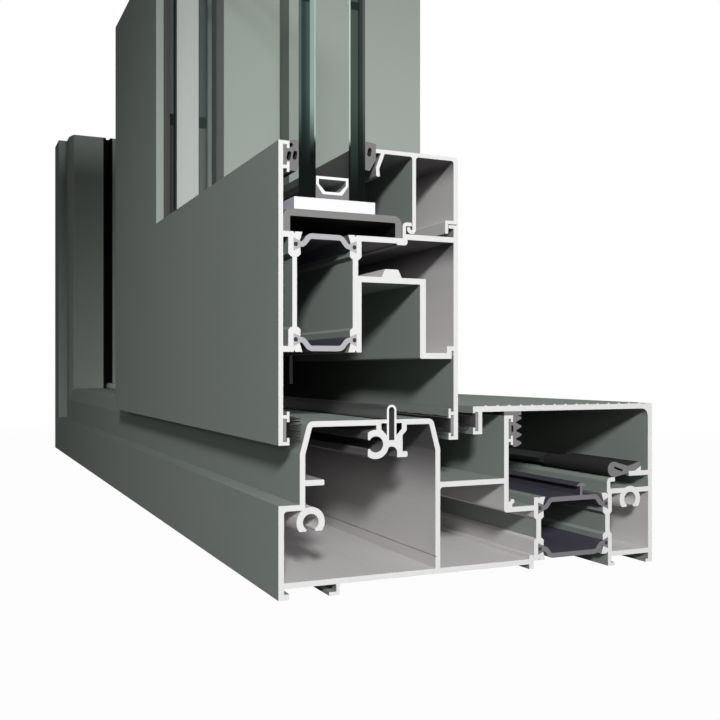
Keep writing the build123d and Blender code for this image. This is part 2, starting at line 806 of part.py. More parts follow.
def sealant_section():
    """Edge sealant between the panes, outside the spacer."""
    plate((glass_front + pane_thickness, glass_edge), (glass_inner, spacer_high - spacer_shoulder))
    spacer_outline(0, mode=Mode.SUBTRACT)


def brush_section(face, inward, thickness, rail_face):
    """Brush in the lower slot of the sash: its backing and its pile."""
    backing = face + inward * (slot_depth - nib)
    tip = rail_face - inward * pile_clearance
    plate((face + inward * thickness, lip + slot_play), (backing, brush_slot - lip / 2 - slot_play))
    plate((backing, 2 * lip + slot_play), (tip, brush_slot - slot_tee - slot_play))


def sash_isolators_section():
    """The two strips that join the shells of the sash."""
    isolator_strip(sash_isolator_front, sash_isolator_rear, sash_isolator_low, -1)
    isolator_strip(sash_isolator_front, sash_isolator_rear, sash_isolator_high, 1)


def sash_brush_section():
    """Both brushes of the sash, which wipe the two sides of the rail."""
    brush_section(0, 1, sash_wall, rail_front + shoulder_inset / 2)
    brush_section(sash_depth, -1, sash_face_wall, rail_back - shoulder_inset / 2)


def setting_block_section():
    """Plastic block that carries the glass."""
    plate((block_front, block_bottom), (block_rear, pane_low))


def bridge_section():
    """Bridge that spans the glazing rebate and carries the setting block."""
    foot = sash_gap + sash_isolator_high + seat_half
    wall([(sash_wall, foot), (sash_wall, block_bottom),
          (bridge_rear, block_bottom), (bridge_rear, foot)],
         bridge_thickness, radii=[bridge_radius, bridge_radius])


def cover_strip_section():
    """Flat strip clipped to the outer edge of the stile."""
    plate((0, 0), (sash_wall, strip_width))
    plate((0, strip_width - sash_wall), (strip_return, strip_width))
    plate((sash_wall, 0), (sash_wall + strip_foot_wall, strip_foot))


def mullion_cover_section():
    """Flat cover that closes the mullion towards the opening."""
    plate((mullion_front, 0), (frame_depth, mullion_wall))


def mullion_front_section():
    """Outer shell of the mullion, with the fin that holds the fixed glass."""
    seat_back = frame_isolator_front - seat_wall
    hollow_box((mullion_front, mullion_wall), (seat_back, mullion_body), mullion_wall)
    hollow_box((mullion_front, mullion_body - mullion_wall), (back_wall, mullion_width), mullion_wall)
    isolator_seat(frame_isolator_front, mullion_wall + seat_half + isolator_offset, 1, -1)
    isolator_seat(frame_isolator_front, mullion_body - seat_half - isolator_offset, 1, 1)


def mullion_rear_section():
    """Inner shell of the mullion."""
    seat_back = frame_isolator_rear + seat_wall
    hollow_box((seat_back, mullion_wall), (frame_depth, mullion_body), mullion_wall)
    isolator_seat(frame_isolator_rear, mullion_wall + seat_half + isolator_offset, -1, -1)
    isolator_seat(frame_isolator_rear, mullion_body - seat_half - isolator_offset, -1, 1)


def mullion_isolators_section():
    """The two strips that join the shells of the mullion."""
    near = mullion_wall + seat_half + isolator_offset
    far = mullion_body - seat_half - isolator_offset
    isolator_strip(frame_isolator_front, frame_isolator_rear, near, -1)
    isolator_strip(frame_isolator_front, frame_isolator_rear, far, 1)


def fixed_bead_section():
    """Bead of the fixed light, from the glass to the room face."""
    wall([(fixed_bead_front, rear_wall_height), (fixed_bead_front, cover_top),
          (frame_depth, cover_top), (frame_depth, rear_wall_height)], fixed_bead_wall)


def fixed_seal_section():
    """Spacer and edge seal of the fixed glass."""
    plate((fixed_glass_front + pane_thickness, fixed_glass_edge),
          (fixed_glass_inner, fixed_glass_edge + fixed_seal_width))


def fixed_gasket_section():
    """Gasket between the fixed glass and its bead."""
    plate((fixed_glass_rear, fixed_gasket_low), (fixed_bead_front, cover_top + fixed_gasket_swell))


def fixed_block_section():
    """Packer that carries the fixed glass over the thermal break."""
    wall([(fixed_glass_front, back_web_top), (fixed_glass_front, fixed_glass_edge),
          (fixed_glass_rear, fixed_glass_edge), (fixed_glass_rear, frame_strip_top)], fixed_block_wall)


def mullion_bead_section():
    """Bead of the fixed light on the mullion."""
    plate((fixed_bead_front, mullion_body), (fixed_bead_front + fixed_bead_wall, mullion_width))
    plate((fixed_bead_front, mullion_width - fixed_bead_wall), (frame_depth, mullion_width))
    plate((frame_depth - fixed_bead_wall, mullion_body), (frame_depth, mullion_width))


def mullion_seal_section():
    """Spacer and edge seal of the fixed glass beside the mullion."""
    plate((fixed_glass_front + pane_thickness, mullion_glass_edge),
          (fixed_glass_inner, mullion_glass_edge + fixed_seal_width))


def mullion_gasket_section():
    """Gasket between the mullion's fin and the fixed glass."""
    outer = mullion_width - fin_gasket_inset
    plate((back_wall, outer - fin_gasket_width), (fixed_glass_front, outer))


def mullion_inner_gasket_section():
    """Gasket between the fixed glass and the mullion's bead."""
    plate((fixed_glass_rear, mullion_width - bead_gasket_width),
          (fixed_bead_front, mullion_width + fixed_gasket_swell))


# Frame
with BuildPart() as sill_front_profile:
    along_sill(front_shell_section, frame_corner)
save(sill_front_profile, "sill_front_profile")

with BuildPart() as sill_rear_profile:
    along_sill(rear_shell_section, frame_corner)
save(sill_rear_profile, "sill_rear_profile")

with BuildPart() as sill_isolators:
    along_sill(lower_isolator_section, frame_corner)
    along_sill(upper_isolator_section, frame_corner)
save(sill_isolators, "sill_isolators")

with BuildPart() as jamb_front_profile:
    along_jamb(front_shell_section, frame_corner)
save(jamb_front_profile, "jamb_front_profile")

with BuildPart() as jamb_rear_profile:
    along_jamb(rear_shell_section, frame_corner)
save(jamb_rear_profile, "jamb_rear_profile")

with BuildPart() as jamb_isolators:
    along_jamb(lower_isolator_section, frame_corner)
    along_jamb(upper_isolator_section, frame_corner)
save(jamb_isolators, "jamb_isolators")

with BuildPart() as rail_clip:
    straight_run(clip_section, frame_corner[0] + rail_height + clip_end_gap)
save(rail_clip, "rail_clip")

with BuildPart() as back_wall_gasket:
    along_sill(back_wall_gasket_section, frame_corner)
    along_jamb(back_wall_gasket_section, frame_corner)
save(back_wall_gasket, "back_wall_gasket")

# Threshold
with BuildPart() as threshold_cover:
    straight_run(cover_section, cover_left)
save(threshold_cover, "threshold_cover")

with BuildPart() as threshold_clip_gasket:
    straight_run(clip_gasket_section, cut_face - clip_gasket_length)
save(threshold_clip_gasket, "threshold_clip_gasket")

with BuildPart() as threshold_brush:
    straight_run(cover_brush_section, cover_left)
save(threshold_brush, "threshold_brush")

# Sash
with BuildPart() as sash_rail_outer_shell:
    along_sill(sash_outer_section, sash_corner)
save(sash_rail_outer_shell, "sash_rail_outer_shell")

with BuildPart() as sash_rail_inner_shell:
    along_sill(sash_inner_section, sash_corner)
save(sash_rail_inner_shell, "sash_rail_inner_shell")

with BuildPart() as sash_rail_isolators:
    along_sill(sash_isolators_section, sash_corner)
save(sash_rail_isolators, "sash_rail_isolators")

with BuildPart() as sash_rail_bead:
    along_sill(bead_section, sash_corner)
save(sash_rail_bead, "sash_rail_bead")

with BuildPart() as sash_stile_outer_shell:
    along_jamb(sash_outer_section, sash_corner)
save(sash_stile_outer_shell, "sash_stile_outer_shell")

with BuildPart() as sash_stile_inner_shell:
    along_jamb(sash_inner_section, sash_corner)
save(sash_stile_inner_shell, "sash_stile_inner_shell")

with BuildPart() as sash_stile_isolators:
    along_jamb(sash_isolators_section, sash_corner)
save(sash_stile_isolators, "sash_stile_isolators")

with BuildPart() as sash_stile_bead:
    along_jamb(bead_section, sash_corner)
save(sash_stile_bead, "sash_stile_bead")

with BuildPart() as stile_cover_strip:
    upright(cover_strip_section, sash_corner[0], sash_gap)
save(stile_cover_strip, "stile_cover_strip")

with BuildPart() as outer_glazing_gasket:
    along_sill(outer_gasket_section, sash_corner)
    along_jamb(outer_gasket_section, sash_corner)
save(outer_glazing_gasket, "outer_glazing_gasket")

with BuildPart() as inner_glazing_gasket:
    along_sill(inner_gasket_section, sash_corner)
    along_jamb(inner_gasket_section, sash_corner)
save(inner_glazing_gasket, "inner_glazing_gasket")

with BuildPart() as sash_brushes:
    along_sill(sash_brush_section, sash_corner)
save(sash_brushes, "sash_brushes")

# Glass of the sash and its packing
with BuildPart() as outer_pane:
    pane(glass_front, pane_left, pane_low, cut_face)
save(outer_pane, "outer_pane")

with BuildPart() as inner_pane:
    pane(glass_inner, pane_left, pane_low, cut_face)
save(inner_pane, "inner_pane")

with BuildPart() as spacer_bar:
    along_sill(spacer_section, sash_corner)
    along_jamb(spacer_section, sash_corner)
save(spacer_bar, "spacer_bar")

with BuildPart() as edge_sealant:
    along_sill(sealant_section, sash_corner)
    along_jamb(sealant_section, sash_corner)
save(edge_sealant, "edge_sealant")

with BuildPart() as setting_block:
    straight_run(setting_block_section, cut_face - block_length)
save(setting_block, "setting_block")

with BuildPart() as glazing_bridge:
    straight_run(bridge_section, cut_face - block_length)
save(glazing_bridge, "glazing_bridge")

# Roller carriage
wheel_height = clip_top + wheel_radius - wheel_groove
carriage_right = cut_face - carriage_start
carriage_left = carriage_right - carriage_length
wheel_places = [(carriage_right - wheel_inset, wheel_height),
                (carriage_left + wheel_inset, wheel_height)]
channel_front = sash_isolator_rear + seat_wall + carriage_gap
channel_rear = roller_wall - roller_wall_thickness - carriage_gap
channel_roof = sash_gap + roller_roof_top - roller_roof
housing_bottom = wheel_height - housing_skirt
axle_length = channel_rear - channel_front - 2 * housing_wall
groove_width = clip_width + 2 * wheel_clearance
groove_radius = wheel_radius - wheel_groove - wheel_clearance
carriage_end = Plane(origin=(carriage_left, outer_face, 0), x_dir=(0, 1, 0), z_dir=(1, 0, 0))
axle_start = Plane.XZ.offset(-outer_face - channel_front - housing_wall)
wheel_start = Plane.XZ.offset(wheel_width / 2 - clip_middle - outer_face)
groove_start = Plane.XZ.offset(groove_width / 2 - clip_middle - outer_face)

with BuildPart() as roller_housing:
    with BuildSketch(carriage_end):
        wall([(channel_front, housing_bottom), (channel_front, channel_roof),
              (channel_rear, channel_roof), (channel_rear, housing_bottom)], housing_wall)
    extrude(amount=carriage_length)
save(roller_housing, "roller_housing")

with BuildPart() as roller_wheels:
    with BuildSketch(wheel_start):
        with Locations(*wheel_places):
            Circle(wheel_radius)
    extrude(amount=-wheel_width)
    with BuildSketch(groove_start):
        with Locations(*wheel_places):
            Circle(wheel_radius + wheel_groove)
            Circle(groove_radius, mode=Mode.SUBTRACT)
    extrude(amount=-groove_width, mode=Mode.SUBTRACT)
    with BuildSketch(axle_start):
        with Locations(*wheel_places):
            Circle(axle_radius)
    extrude(amount=-axle_length)
save(roller_wheels, "roller_wheels")

# Fixed mullion, standing on the threshold cover
with BuildPart() as mullion_cover:
    upright(mullion_cover_section, mullion_right, mullion_foot)
save(mullion_cover, "mullion_cover")

with BuildPart() as mullion_front_shell:
    upright(mullion_front_section, mullion_right, mullion_foot)
save(mullion_front_shell, "mullion_front_shell")

with BuildPart() as mullion_rear_shell:
    upright(mullion_rear_section, mullion_right, mullion_foot)
save(mullion_rear_shell, "mullion_rear_shell")

with BuildPart() as mullion_isolators:
    upright(mullion_isolators_section, mullion_right, mullion_foot)
save(mullion_isolators, "mullion_isolators")

# Fixed light
with BuildPart() as mullion_bead:
    upright(mullion_bead_section, mullion_right, cover_top)
save(mullion_bead, "mullion_bead")

with BuildPart() as mullion_gasket:
    upright(mullion_gasket_section, mullion_right, mullion_foot)
save(mullion_gasket, "mullion_gasket")

with BuildPart() as fixed_sill_bead:
    along_sill(fixed_bead_section, frame_corner, cover_left)
save(fixed_sill_bead, "fixed_sill_bead")

with BuildPart() as fixed_jamb_bead:
    along_jamb(fixed_bead_section, frame_corner)
save(fixed_jamb_bead, "fixed_jamb_bead")

with BuildPart() as fixed_outer_pane:
    pane(fixed_glass_front, fixed_left, fixed_glass_edge, fixed_right)
save(fixed_outer_pane, "fixed_outer_pane")

with BuildPart() as fixed_inner_pane:
    pane(fixed_glass_inner, fixed_left, fixed_glass_edge, fixed_right)
save(fixed_inner_pane, "fixed_inner_pane")

with BuildPart() as fixed_edge_seal:
    along_sill(fixed_seal_section, frame_corner, fixed_right)
    along_jamb(fixed_seal_section, frame_corner)
    upright(mullion_seal_section, mullion_right, fixed_glass_edge)
save(fixed_edge_seal, "fixed_edge_seal")

with BuildPart() as fixed_inner_gasket:
    along_sill(fixed_gasket_section, frame_corner, cover_left)
    along_jamb(fixed_gasket_section, frame_corner)
    upright(mullion_inner_gasket_section, mullion_right, cover_top)
save(fixed_inner_gasket, "fixed_inner_gasket")

with BuildPart() as fixed_setting_block:
    block_start = fixed_left + fixed_block_start
    straight_run(fixed_block_section, block_start, block_start + fixed_block_length)
save(fixed_setting_block, "fixed_setting_block")
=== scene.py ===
"""Looks of a cut-away corner sample of a sliding patio door, built around its CAD frame."""

from __future__ import annotations

import json
import logging
import math
import random
from dataclasses import dataclass
from enum import Enum
from typing import Any, Sequence

import bmesh
import bpy
from mathutils import Euler, Matrix, Vector

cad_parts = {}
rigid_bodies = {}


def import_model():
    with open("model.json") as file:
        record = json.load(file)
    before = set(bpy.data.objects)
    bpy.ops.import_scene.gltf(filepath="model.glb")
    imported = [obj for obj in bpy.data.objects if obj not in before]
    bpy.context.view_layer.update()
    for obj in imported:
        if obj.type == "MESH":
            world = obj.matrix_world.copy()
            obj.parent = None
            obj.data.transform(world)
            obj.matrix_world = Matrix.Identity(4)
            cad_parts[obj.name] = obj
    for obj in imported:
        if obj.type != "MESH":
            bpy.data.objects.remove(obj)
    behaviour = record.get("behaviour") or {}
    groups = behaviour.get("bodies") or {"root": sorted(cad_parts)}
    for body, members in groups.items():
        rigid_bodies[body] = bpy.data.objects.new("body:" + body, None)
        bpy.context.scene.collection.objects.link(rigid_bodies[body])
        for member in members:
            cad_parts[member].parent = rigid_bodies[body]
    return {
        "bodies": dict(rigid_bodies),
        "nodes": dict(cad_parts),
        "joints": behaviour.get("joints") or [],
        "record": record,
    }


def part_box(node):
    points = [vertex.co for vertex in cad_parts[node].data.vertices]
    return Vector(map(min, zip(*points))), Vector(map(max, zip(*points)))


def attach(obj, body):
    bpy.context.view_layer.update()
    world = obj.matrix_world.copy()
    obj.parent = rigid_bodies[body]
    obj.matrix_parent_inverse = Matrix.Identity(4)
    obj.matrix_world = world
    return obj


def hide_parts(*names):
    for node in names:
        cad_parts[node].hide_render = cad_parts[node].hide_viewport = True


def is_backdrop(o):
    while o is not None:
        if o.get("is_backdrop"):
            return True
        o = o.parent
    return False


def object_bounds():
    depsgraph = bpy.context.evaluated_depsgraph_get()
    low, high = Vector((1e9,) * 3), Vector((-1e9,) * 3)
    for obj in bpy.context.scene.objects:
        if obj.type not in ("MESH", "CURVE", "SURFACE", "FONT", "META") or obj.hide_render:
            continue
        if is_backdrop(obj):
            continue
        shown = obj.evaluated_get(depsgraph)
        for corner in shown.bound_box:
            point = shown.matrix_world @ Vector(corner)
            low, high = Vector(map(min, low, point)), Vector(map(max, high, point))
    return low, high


log = logging.getLogger("patio_door")

MM = 0.001

Colour = tuple[float, float, float]
Point = tuple[float, float]
Point3 = tuple[float, float, float]

BLACK: Colour = (0.0, 0.0, 0.0)
WHITE: Colour = (1.0, 1.0, 1.0)

# How many finer layers a noise has, by what it stands for.
SPECK_DETAIL = 1.0
GRAIN_DETAIL = 2.0
LINE_DETAIL = 3.0


class Run(Enum):
    """Where a profile runs, which says how its section lies in the frame."""

    SILL = "along the bottom"
    JAMB = "up the left side"
    MULLION = "up the right of the fixed light"


class Signal:
    """One shader value, which can be used in Python expressions."""

    def __init__(self, graph: Graph, socket: bpy.types.NodeSocket) -> None:
        """Wrap an output socket.

        Args:
            graph: The node graph that the socket belongs to.
            socket: The output that carries the value.
        """
        self.graph = graph
        self.socket = socket

    def math(self, operation: str, *others: Signal | float) -> Signal:
        """Add a Math node that starts from this value.

        Args:
            operation: The name of Blender's operation.
            others: The other values it takes.

        Returns:
            The result as a new value.
        """
        return self.graph.math(operation, self, *others)

    def __add__(self, other: Signal | float) -> Signal:
        """Return the sum."""
        return self.math("ADD", other)

    def __radd__(self, other: float) -> Signal:
        """Return the sum with a number on the left."""
        return self.math("ADD", other)

    def __sub__(self, other: Signal | float) -> Signal:
        """Return the difference."""
        return self.math("SUBTRACT", other)

    def __rsub__(self, other: float) -> Signal:
        """Return a number less this value."""
        return self.graph.math("SUBTRACT", other, self)

    def __mul__(self, other: Signal | float) -> Signal:
        """Return the product."""
        return self.math("MULTIPLY", other)

    def __rmul__(self, other: float) -> Signal:
        """Return the product with a number on the left."""
        return self.math("MULTIPLY", other)

    def __truediv__(self, other: Signal | float) -> Signal:
        """Return the quotient."""
        return self.math("DIVIDE", other)

    def __gt__(self, other: Signal | float) -> Signal:
        """Return 1 where this value is the larger one."""
        return self.math("GREATER_THAN", other)

    def __lt__(self, other: Signal | float) -> Signal:
        """Return 1 where this value is the smaller one."""
        return self.math("LESS_THAN", other)

    def __or__(self, other: Signal) -> Signal:
        """Join two masks."""
        return self.math("MAXIMUM", other)

    def __and__(self, other: Signal) -> Signal:
        """Keep what two masks share."""
        return self.math("MULTIPLY", other)

    def distance(self, other: Signal) -> Signal:
        """Return how far a point lies from the zero of two coordinates."""
        return (self * self + other * other).math("SQRT")

    def swing(self, depth: float) -> Signal:
        """Turn noise into a factor about 1.

        Args:
            depth: How far apart the least and the largest factor are.

        Returns:
            The factor.
        """
        return (1.0 - depth / 2) + self * depth

    def ramp(self, low: float, high: float) -> Signal:
        """Rise smoothly from 0 at low to 1 at high.

        Args:
            low: The value at which the rise starts.
            high: The value at which it ends.

        Returns:
            A mask from 0 to 1.
        """
        settings = {"interpolation_type": "SMOOTHSTEP", "clamp": True}
        limits = {"From Min": low, "From Max": high}
        node = self.graph.node("ShaderNodeMapRange", settings, Value=self, **limits)
        return Signal(self.graph, node.outputs["Result"])


class Graph:
    """The node tree of one material or of the world."""

    def __init__(self, tree: bpy.types.NodeTree) -> None:
        """Take a node tree and empty it.

        Args:
            tree: The tree to fill.
        """
        self.tree = tree
        tree.nodes.clear()

    def node(self, kind: str, settings: dict[str, Any] | None = None, **values: Any) -> bpy.types.Node:
        """Add one node of any kind.

        Args:
            kind: Blender's name of the node type.
            settings: Properties of the node, which are set first.
            values: Values or links of its input sockets, by socket name.

        Returns:
            The new node.
        """
        made = self.tree.nodes.new(kind)
        for name, value in (settings or {}).items():
            setattr(made, name, value)
        for name, value in values.items():
            self.feed(made.inputs[name], value)
        return made

    def feed(self, socket: bpy.types.NodeSocket, value: Any) -> None:
        """Link a value to a socket, or set it there.

        Args:
            socket: The input to fill.
            value: A Signal, an output socket, a colour or a number.
        """
        if isinstance(value, Signal):
            self.tree.links.new(value.socket, socket)
        elif isinstance(value, bpy.types.NodeSocket):
            self.tree.links.new(value, socket)
        elif isinstance(value, tuple) and socket.type == "RGBA":
            socket.default_value = (*value, 1.0)
        else:
            socket.default_value = value

    def math(self, operation: str, *values: Signal | float) -> Signal:
        """Add a Math node.

        Args:
            operation: The name of Blender's operation.
            values: What it works on.

        Returns:
            Its result.
        """
        made = self.node("ShaderNodeMath", {"operation": operation})
        for socket, value in zip(made.inputs, values):
            self.feed(socket, value)
        return Signal(self, made.outputs[0])

    def place(self) -> tuple[Signal, Signal, Signal]:
        """Return the object coordinates X, Y and Z in millimetres."""
        where = self.node("ShaderNodeTexCoord").outputs["Object"]
        split = self.node("ShaderNodeSeparateXYZ", None, Vector=where)
        return tuple(Signal(self, split.outputs[axis]) / MM for axis in "XYZ")

    def vector(self, x: Signal | float, y: Signal | float, z: Signal | float) -> Signal:
        """Join three values to a vector."""
        return Signal(self, self.node("ShaderNodeCombineXYZ", None, X=x, Y=y, Z=z).outputs[0])

    def noise(self, where: Signal, scale: float, detail: float = GRAIN_DETAIL) -> Signal:
        """Sample smooth noise.

        Args:
            where: The point in space.
            scale: How many waves there are in one unit of it.
            detail: How many finer layers are added.

        Returns:
            Noise about 0.5.
        """
        made = self.node("ShaderNodeTexNoise", None, Vector=where, Scale=scale, Detail=detail)
        return Signal(self, made.outputs["Fac"])

    def mix(self, first: Any, second: Any, share: Signal | float) -> Signal:
        """Blend two colours.

        Args:
            first: The colour where share is 0.
            second: The colour where share is 1.
            share: The mask.

        Returns:
            The blended colour.
        """
        made = self.node("ShaderNodeMix", {"data_type": "RGBA"})
        sockets = {socket.identifier: socket for socket in made.inputs}
        self.feed(sockets["Factor_Float"], share)
        self.feed(sockets["A_Color"], first)
        self.feed(sockets["B_Color"], second)
        return Signal(self, next(one for one in made.outputs if one.identifier == "Result_Color"))

    def shaded(self, colour: Colour, tone: Signal) -> Signal:
        """Make a colour darker or lighter by a factor."""
        return self.mix(BLACK, colour, tone)

    def seen(self) -> Signal:
        """Mark the rays that carry what the camera sees, straight, by reflection or through glass."""
        path = self.node("ShaderNodeLightPath")
        camera, glossy, through = (
            Signal(self, path.outputs[f"Is {kind} Ray"]) for kind in ("Camera", "Glossy", "Transmission")
        )
        return camera | glossy | through

    def bump(self, height: Signal, distance: float) -> Signal:
        """Bend the normal by a height.

        Args:
            height: The height from 0 to 1.
            distance: What a height of 1 stands for, in metres.

        Returns:
            The bent normal.
        """
        made = self.node("ShaderNodeBump", None, Height=height, Distance=distance, Strength=1.0)
        return Signal(self, made.outputs["Normal"])

    def principled(self, **values: Any) -> bpy.types.NodeSocket:
        """Add the surface shader and return its output."""
        return self.node("ShaderNodeBsdfPrincipled", None, **values).outputs["BSDF"]

    def surface(self, shader: bpy.types.NodeSocket) -> None:
        """Send a shader to the material's output."""
        self.node("ShaderNodeOutputMaterial", None, Surface=shader)


@dataclass(frozen=True)
class Coat:
    """How one kind of surface looks."""

    colour: Colour
    roughness: float
    metallic: float = 0.0


@dataclass(frozen=True)
class Sample:
    """Where the sample is cut, in millimetres of the frame, and how the saw blade lay."""

    cut_x: float
    top_z: float
    outer_y: float
    left_x: float
    margin: float = 0.05
    blade_y: float = -260.0
    blade_z: float = 420.0
    tooth_scale: float = 1.6

    def cut_mask(self, x: Signal, z: Signal) -> Signal:
        """Mark the sawn faces at the right and at the top.

        Args:
            x: The coordinate along the sill.
            z: The height.

        Returns:
            A mask that is 1 on the cut faces.
        """
        return (x > self.cut_x - self.margin) | (z > self.top_z - self.margin)

    def saw_marks(self, graph: Graph, x: Signal, y: Signal, z: Signal) -> Signal:
        """Draw the shallow arcs that the saw blade leaves on a cut face.

        Args:
            graph: The node graph.
            x: The coordinate along the sill.
            y: The depth.
            z: The height.

        Returns:
            A height from 0 to 1.
        """
        radius = (y - self.blade_y).distance(z + x - self.blade_z)
        return graph.noise(graph.vector(radius, 0.0, 0.0), self.tooth_scale, LINE_DETAIL)


@dataclass(frozen=True)
class Outline:
    """A convex stretch of a section, its corners listed anticlockwise in millimetres."""

    corners: tuple[Point, ...]

    def mask(self, depth: Signal, height: Signal) -> Signal:
        """Mark the inside of the outline.

        Args:
            depth: The section's depth coordinate.
            height: The section's height coordinate.

        Returns:
            A mask that is 1 inside.
        """
        inside: Signal | None = None
        for start, end in zip(self.corners, self.corners[1:] + self.corners[:1]):
            across, along = end[0] - start[0], end[1] - start[1]
            side = (height - start[1]) * across - (depth - start[0]) * along
            inside = (side > 0.0) if inside is None else inside & (side > 0.0)
        return inside


def rectangle(low: Point, high: Point) -> Outline:
    """Return the outline of a rectangle between two opposite corners."""
    return Outline((low, (high[0], low[1]), high, (low[0], high[1])))


@dataclass(frozen=True)
class Section:
    """The coordinates of a profile's section."""

    run: Run
    corner_x: float
    corner_z: float
    outer_y: float

    def coordinates(self, x: Signal, y: Signal, z: Signal) -> tuple[Signal, Signal, Signal]:
        """Return depth, height in the section and the length along the run.

        Args:
            x: The coordinate along the sill.
            y: The depth in the frame.
            z: The height in the frame.

        Returns:
            The three section coordinates in millimetres.
        """
        depth = y - self.outer_y
        if self.run is Run.SILL:
            return depth, z - self.corner_z, x
        if self.run is Run.JAMB:
            return depth, x - self.corner_x, z
        return depth, self.corner_x - x, z


@dataclass(frozen=True)
class Chambers:
    """The closed chambers of a profile, whose bare walls carry painted shade that darkens them towards their
    roof and outer wall.
    """

    outlines: tuple[Outline, ...]
    shade_from: float
    shade_to: float
    outer_wall: float = 0.0
    outer_wall_shade: float = 0.75

    def inside(self, depth: Signal, height: Signal) -> Signal:
        """Mark what lies in the chambers.

        Args:
            depth: The section's depth coordinate.
            height: The section's height coordinate.

        Returns:
            A mask that is 1 in the chambers.
        """
        masks = [outline.mask(depth, height) for outline in self.outlines]
        joined = masks[0]
        for mask in masks[1:]:
            joined = joined | mask
        return joined

    def painted_shade(self, depth: Signal, height: Signal) -> Signal:
        """Mark the painted shade on the bare metal, deepest towards the roof and the outer wall.

        Args:
            depth: The section's depth coordinate.
            height: The section's height coordinate.

        Returns:
            A mask that is 1 where the painted shade is deepest.
        """
        outer = (depth < self.outer_wall) * self.outer_wall_shade
        return height.ramp(self.shade_from, self.shade_to) | outer


@dataclass(frozen=True)
class PaintedAluminium:
    """Powder-coated profile, bare in its closed chambers and silver where it is sawn, with painted shade deep
    in its chambers and slots.

    A scale is in waves per millimetre, a swing is a share of the tone, and a gloss is what the
    same noise adds to the roughness.
    """

    sample: Sample
    paint: Coat = Coat((0.262, 0.292, 0.268), 0.5)
    bare: Coat = Coat((0.62, 0.60, 0.60), 0.5, 0.15)
    sawn: Coat = Coat((0.46, 0.46, 0.455), 0.5, 0.1)
    shade: Colour = (0.006, 0.006, 0.006)
    deepest_shade_tone: float = 0.22
    relief: float = 0.00002
    cloud_scale: float = 0.011
    cloud_swing: float = 0.08
    speckle_scale: float = 1.9
    speckle_swing: float = 0.04
    speckle_gloss: float = 0.08
    peel_scale: float = 0.75
    peel_share: float = 0.4
    line_across: float = 2.6
    line_along: float = 0.006
    line_swing: float = 0.24
    line_gloss: float = 0.16
    arc_swing: float = 0.06
    arc_gloss: float = 0.1

    def material(self, name: str, section: Section, chambers: Chambers | None,
                 slots: Sequence[Outline]) -> bpy.types.Material:
        """Build the material of one profile.

        Args:
            name: The material's name.
            section: The profile's section coordinates.
            chambers: The closed chambers that the paint doesn't reach.
            slots: The narrow slots whose inside gets painted shade, near-black.

        Returns:
            The new material.
        """
        made, graph = new_material(name)
        x, y, z = graph.place()
        depth, height, along = section.coordinates(x, y, z)
        cut = self.sample.cut_mask(x, z)
        place = graph.vector(x, y, z)

        cloud = graph.noise(place, self.cloud_scale)
        speckle = graph.noise(place, self.speckle_scale, SPECK_DETAIL)
        darkest = 1.0 - (self.cloud_swing + self.speckle_swing) / 2
        tone = darkest + cloud * self.cloud_swing + speckle * self.speckle_swing
        colour = graph.shaded(self.paint.colour, tone)
        roughness = self.paint.roughness + speckle * self.speckle_gloss
        metallic: Signal | float = self.paint.metallic
        relief = graph.noise(place, self.peel_scale) * self.peel_share

        if chambers is not None:
            inner = chambers.inside(depth, height)
            # Painted shade: the bare chamber walls are darkened towards their roof and outer wall.
            shade_tone = 1.0 - chambers.painted_shade(depth, height) * (1.0 - self.deepest_shade_tone)
            drawn = graph.vector(
                depth * self.line_across, height * self.line_across, along * self.line_along,
            )
            lines = graph.noise(drawn, 1.0, LINE_DETAIL)
            bare = graph.shaded(self.bare.colour, lines.swing(self.line_swing) * shade_tone)
            colour = graph.mix(colour, bare, inner)
            roughness = roughness + inner * (self.bare.roughness + lines * self.line_gloss - roughness)
            metallic = inner * self.bare.metallic
            relief = relief + inner * (lines - relief)
        # Painted shade: the narrow slots are painted near-black, as shade falls deep in them.
        for slot in slots:
            colour = graph.mix(colour, self.shade, slot.mask(depth, height))

        arcs = self.sample.saw_marks(graph, x, y, z)
        colour = graph.mix(colour, graph.shaded(self.sawn.colour, arcs.swing(self.arc_swing)), cut)
        roughness = roughness + cut * (self.sawn.roughness + arcs * self.arc_gloss - roughness)
        metallic = cut * self.sawn.metallic + metallic * (1.0 - cut)
        relief = relief + cut * (arcs - relief)

        shader = graph.principled(**{
            "Base Color": colour,
            "Roughness": roughness,
            "Metallic": metallic,
            "Specular IOR Level": 0.0,
            "Normal": graph.bump(relief, self.relief),
        })
        graph.surface(shader)
        return made


@dataclass(frozen=True)
class CutPlastic:
    """Rubber or plastic that is darker on its skin than on its cut face."""

    sample: Sample
    skin: Coat
    cut: Coat
    grain_scale: float = 1.2
    grain_stretch: float = 0.15
    grain_gloss: float = 0.1
    skin_swing: float = 0.3
    cut_swing: float = 0.12
    specular: float = 0.15
    relief: float = 0.00003
    wire_radius: float = 0.75
    wire: Colour = (0.02, 0.02, 0.02)

    def material(self, name: str, section: Section | None = None,
                 wires: Sequence[Point] = ()) -> bpy.types.Material:
        """Build the material of a gasket, strip or packer.

        Args:
            name: The material's name.
            section: The section coordinates, which place the wires.
            wires: The middles of the sealing wires in the section.

        Returns:
            The new material.
        """
        made, graph = new_material(name)
        x, y, z = graph.place()
        cut = self.sample.cut_mask(x, z)
        grain = graph.noise(graph.vector(x * self.grain_stretch, y, z), self.grain_scale)
        skin = graph.shaded(self.skin.colour, grain.swing(self.skin_swing))
        face = graph.shaded(self.cut.colour, grain.swing(self.cut_swing))
        if section is not None:
            depth, height, _ = section.coordinates(x, y, z)
            for wire in wires:
                off_middle = (depth - wire[0]).distance(height - wire[1])
                face = graph.mix(face, self.wire, off_middle < self.wire_radius)
        rise = self.cut.roughness - self.skin.roughness
        shader = graph.principled(**{
            "Base Color": graph.mix(skin, face, cut),
            "Roughness": self.skin.roughness + cut * rise + grain * self.grain_gloss,
            "Specular IOR Level": self.specular,
            "Normal": graph.bump(grain, self.relief),
        })
        graph.surface(shader)
        return made


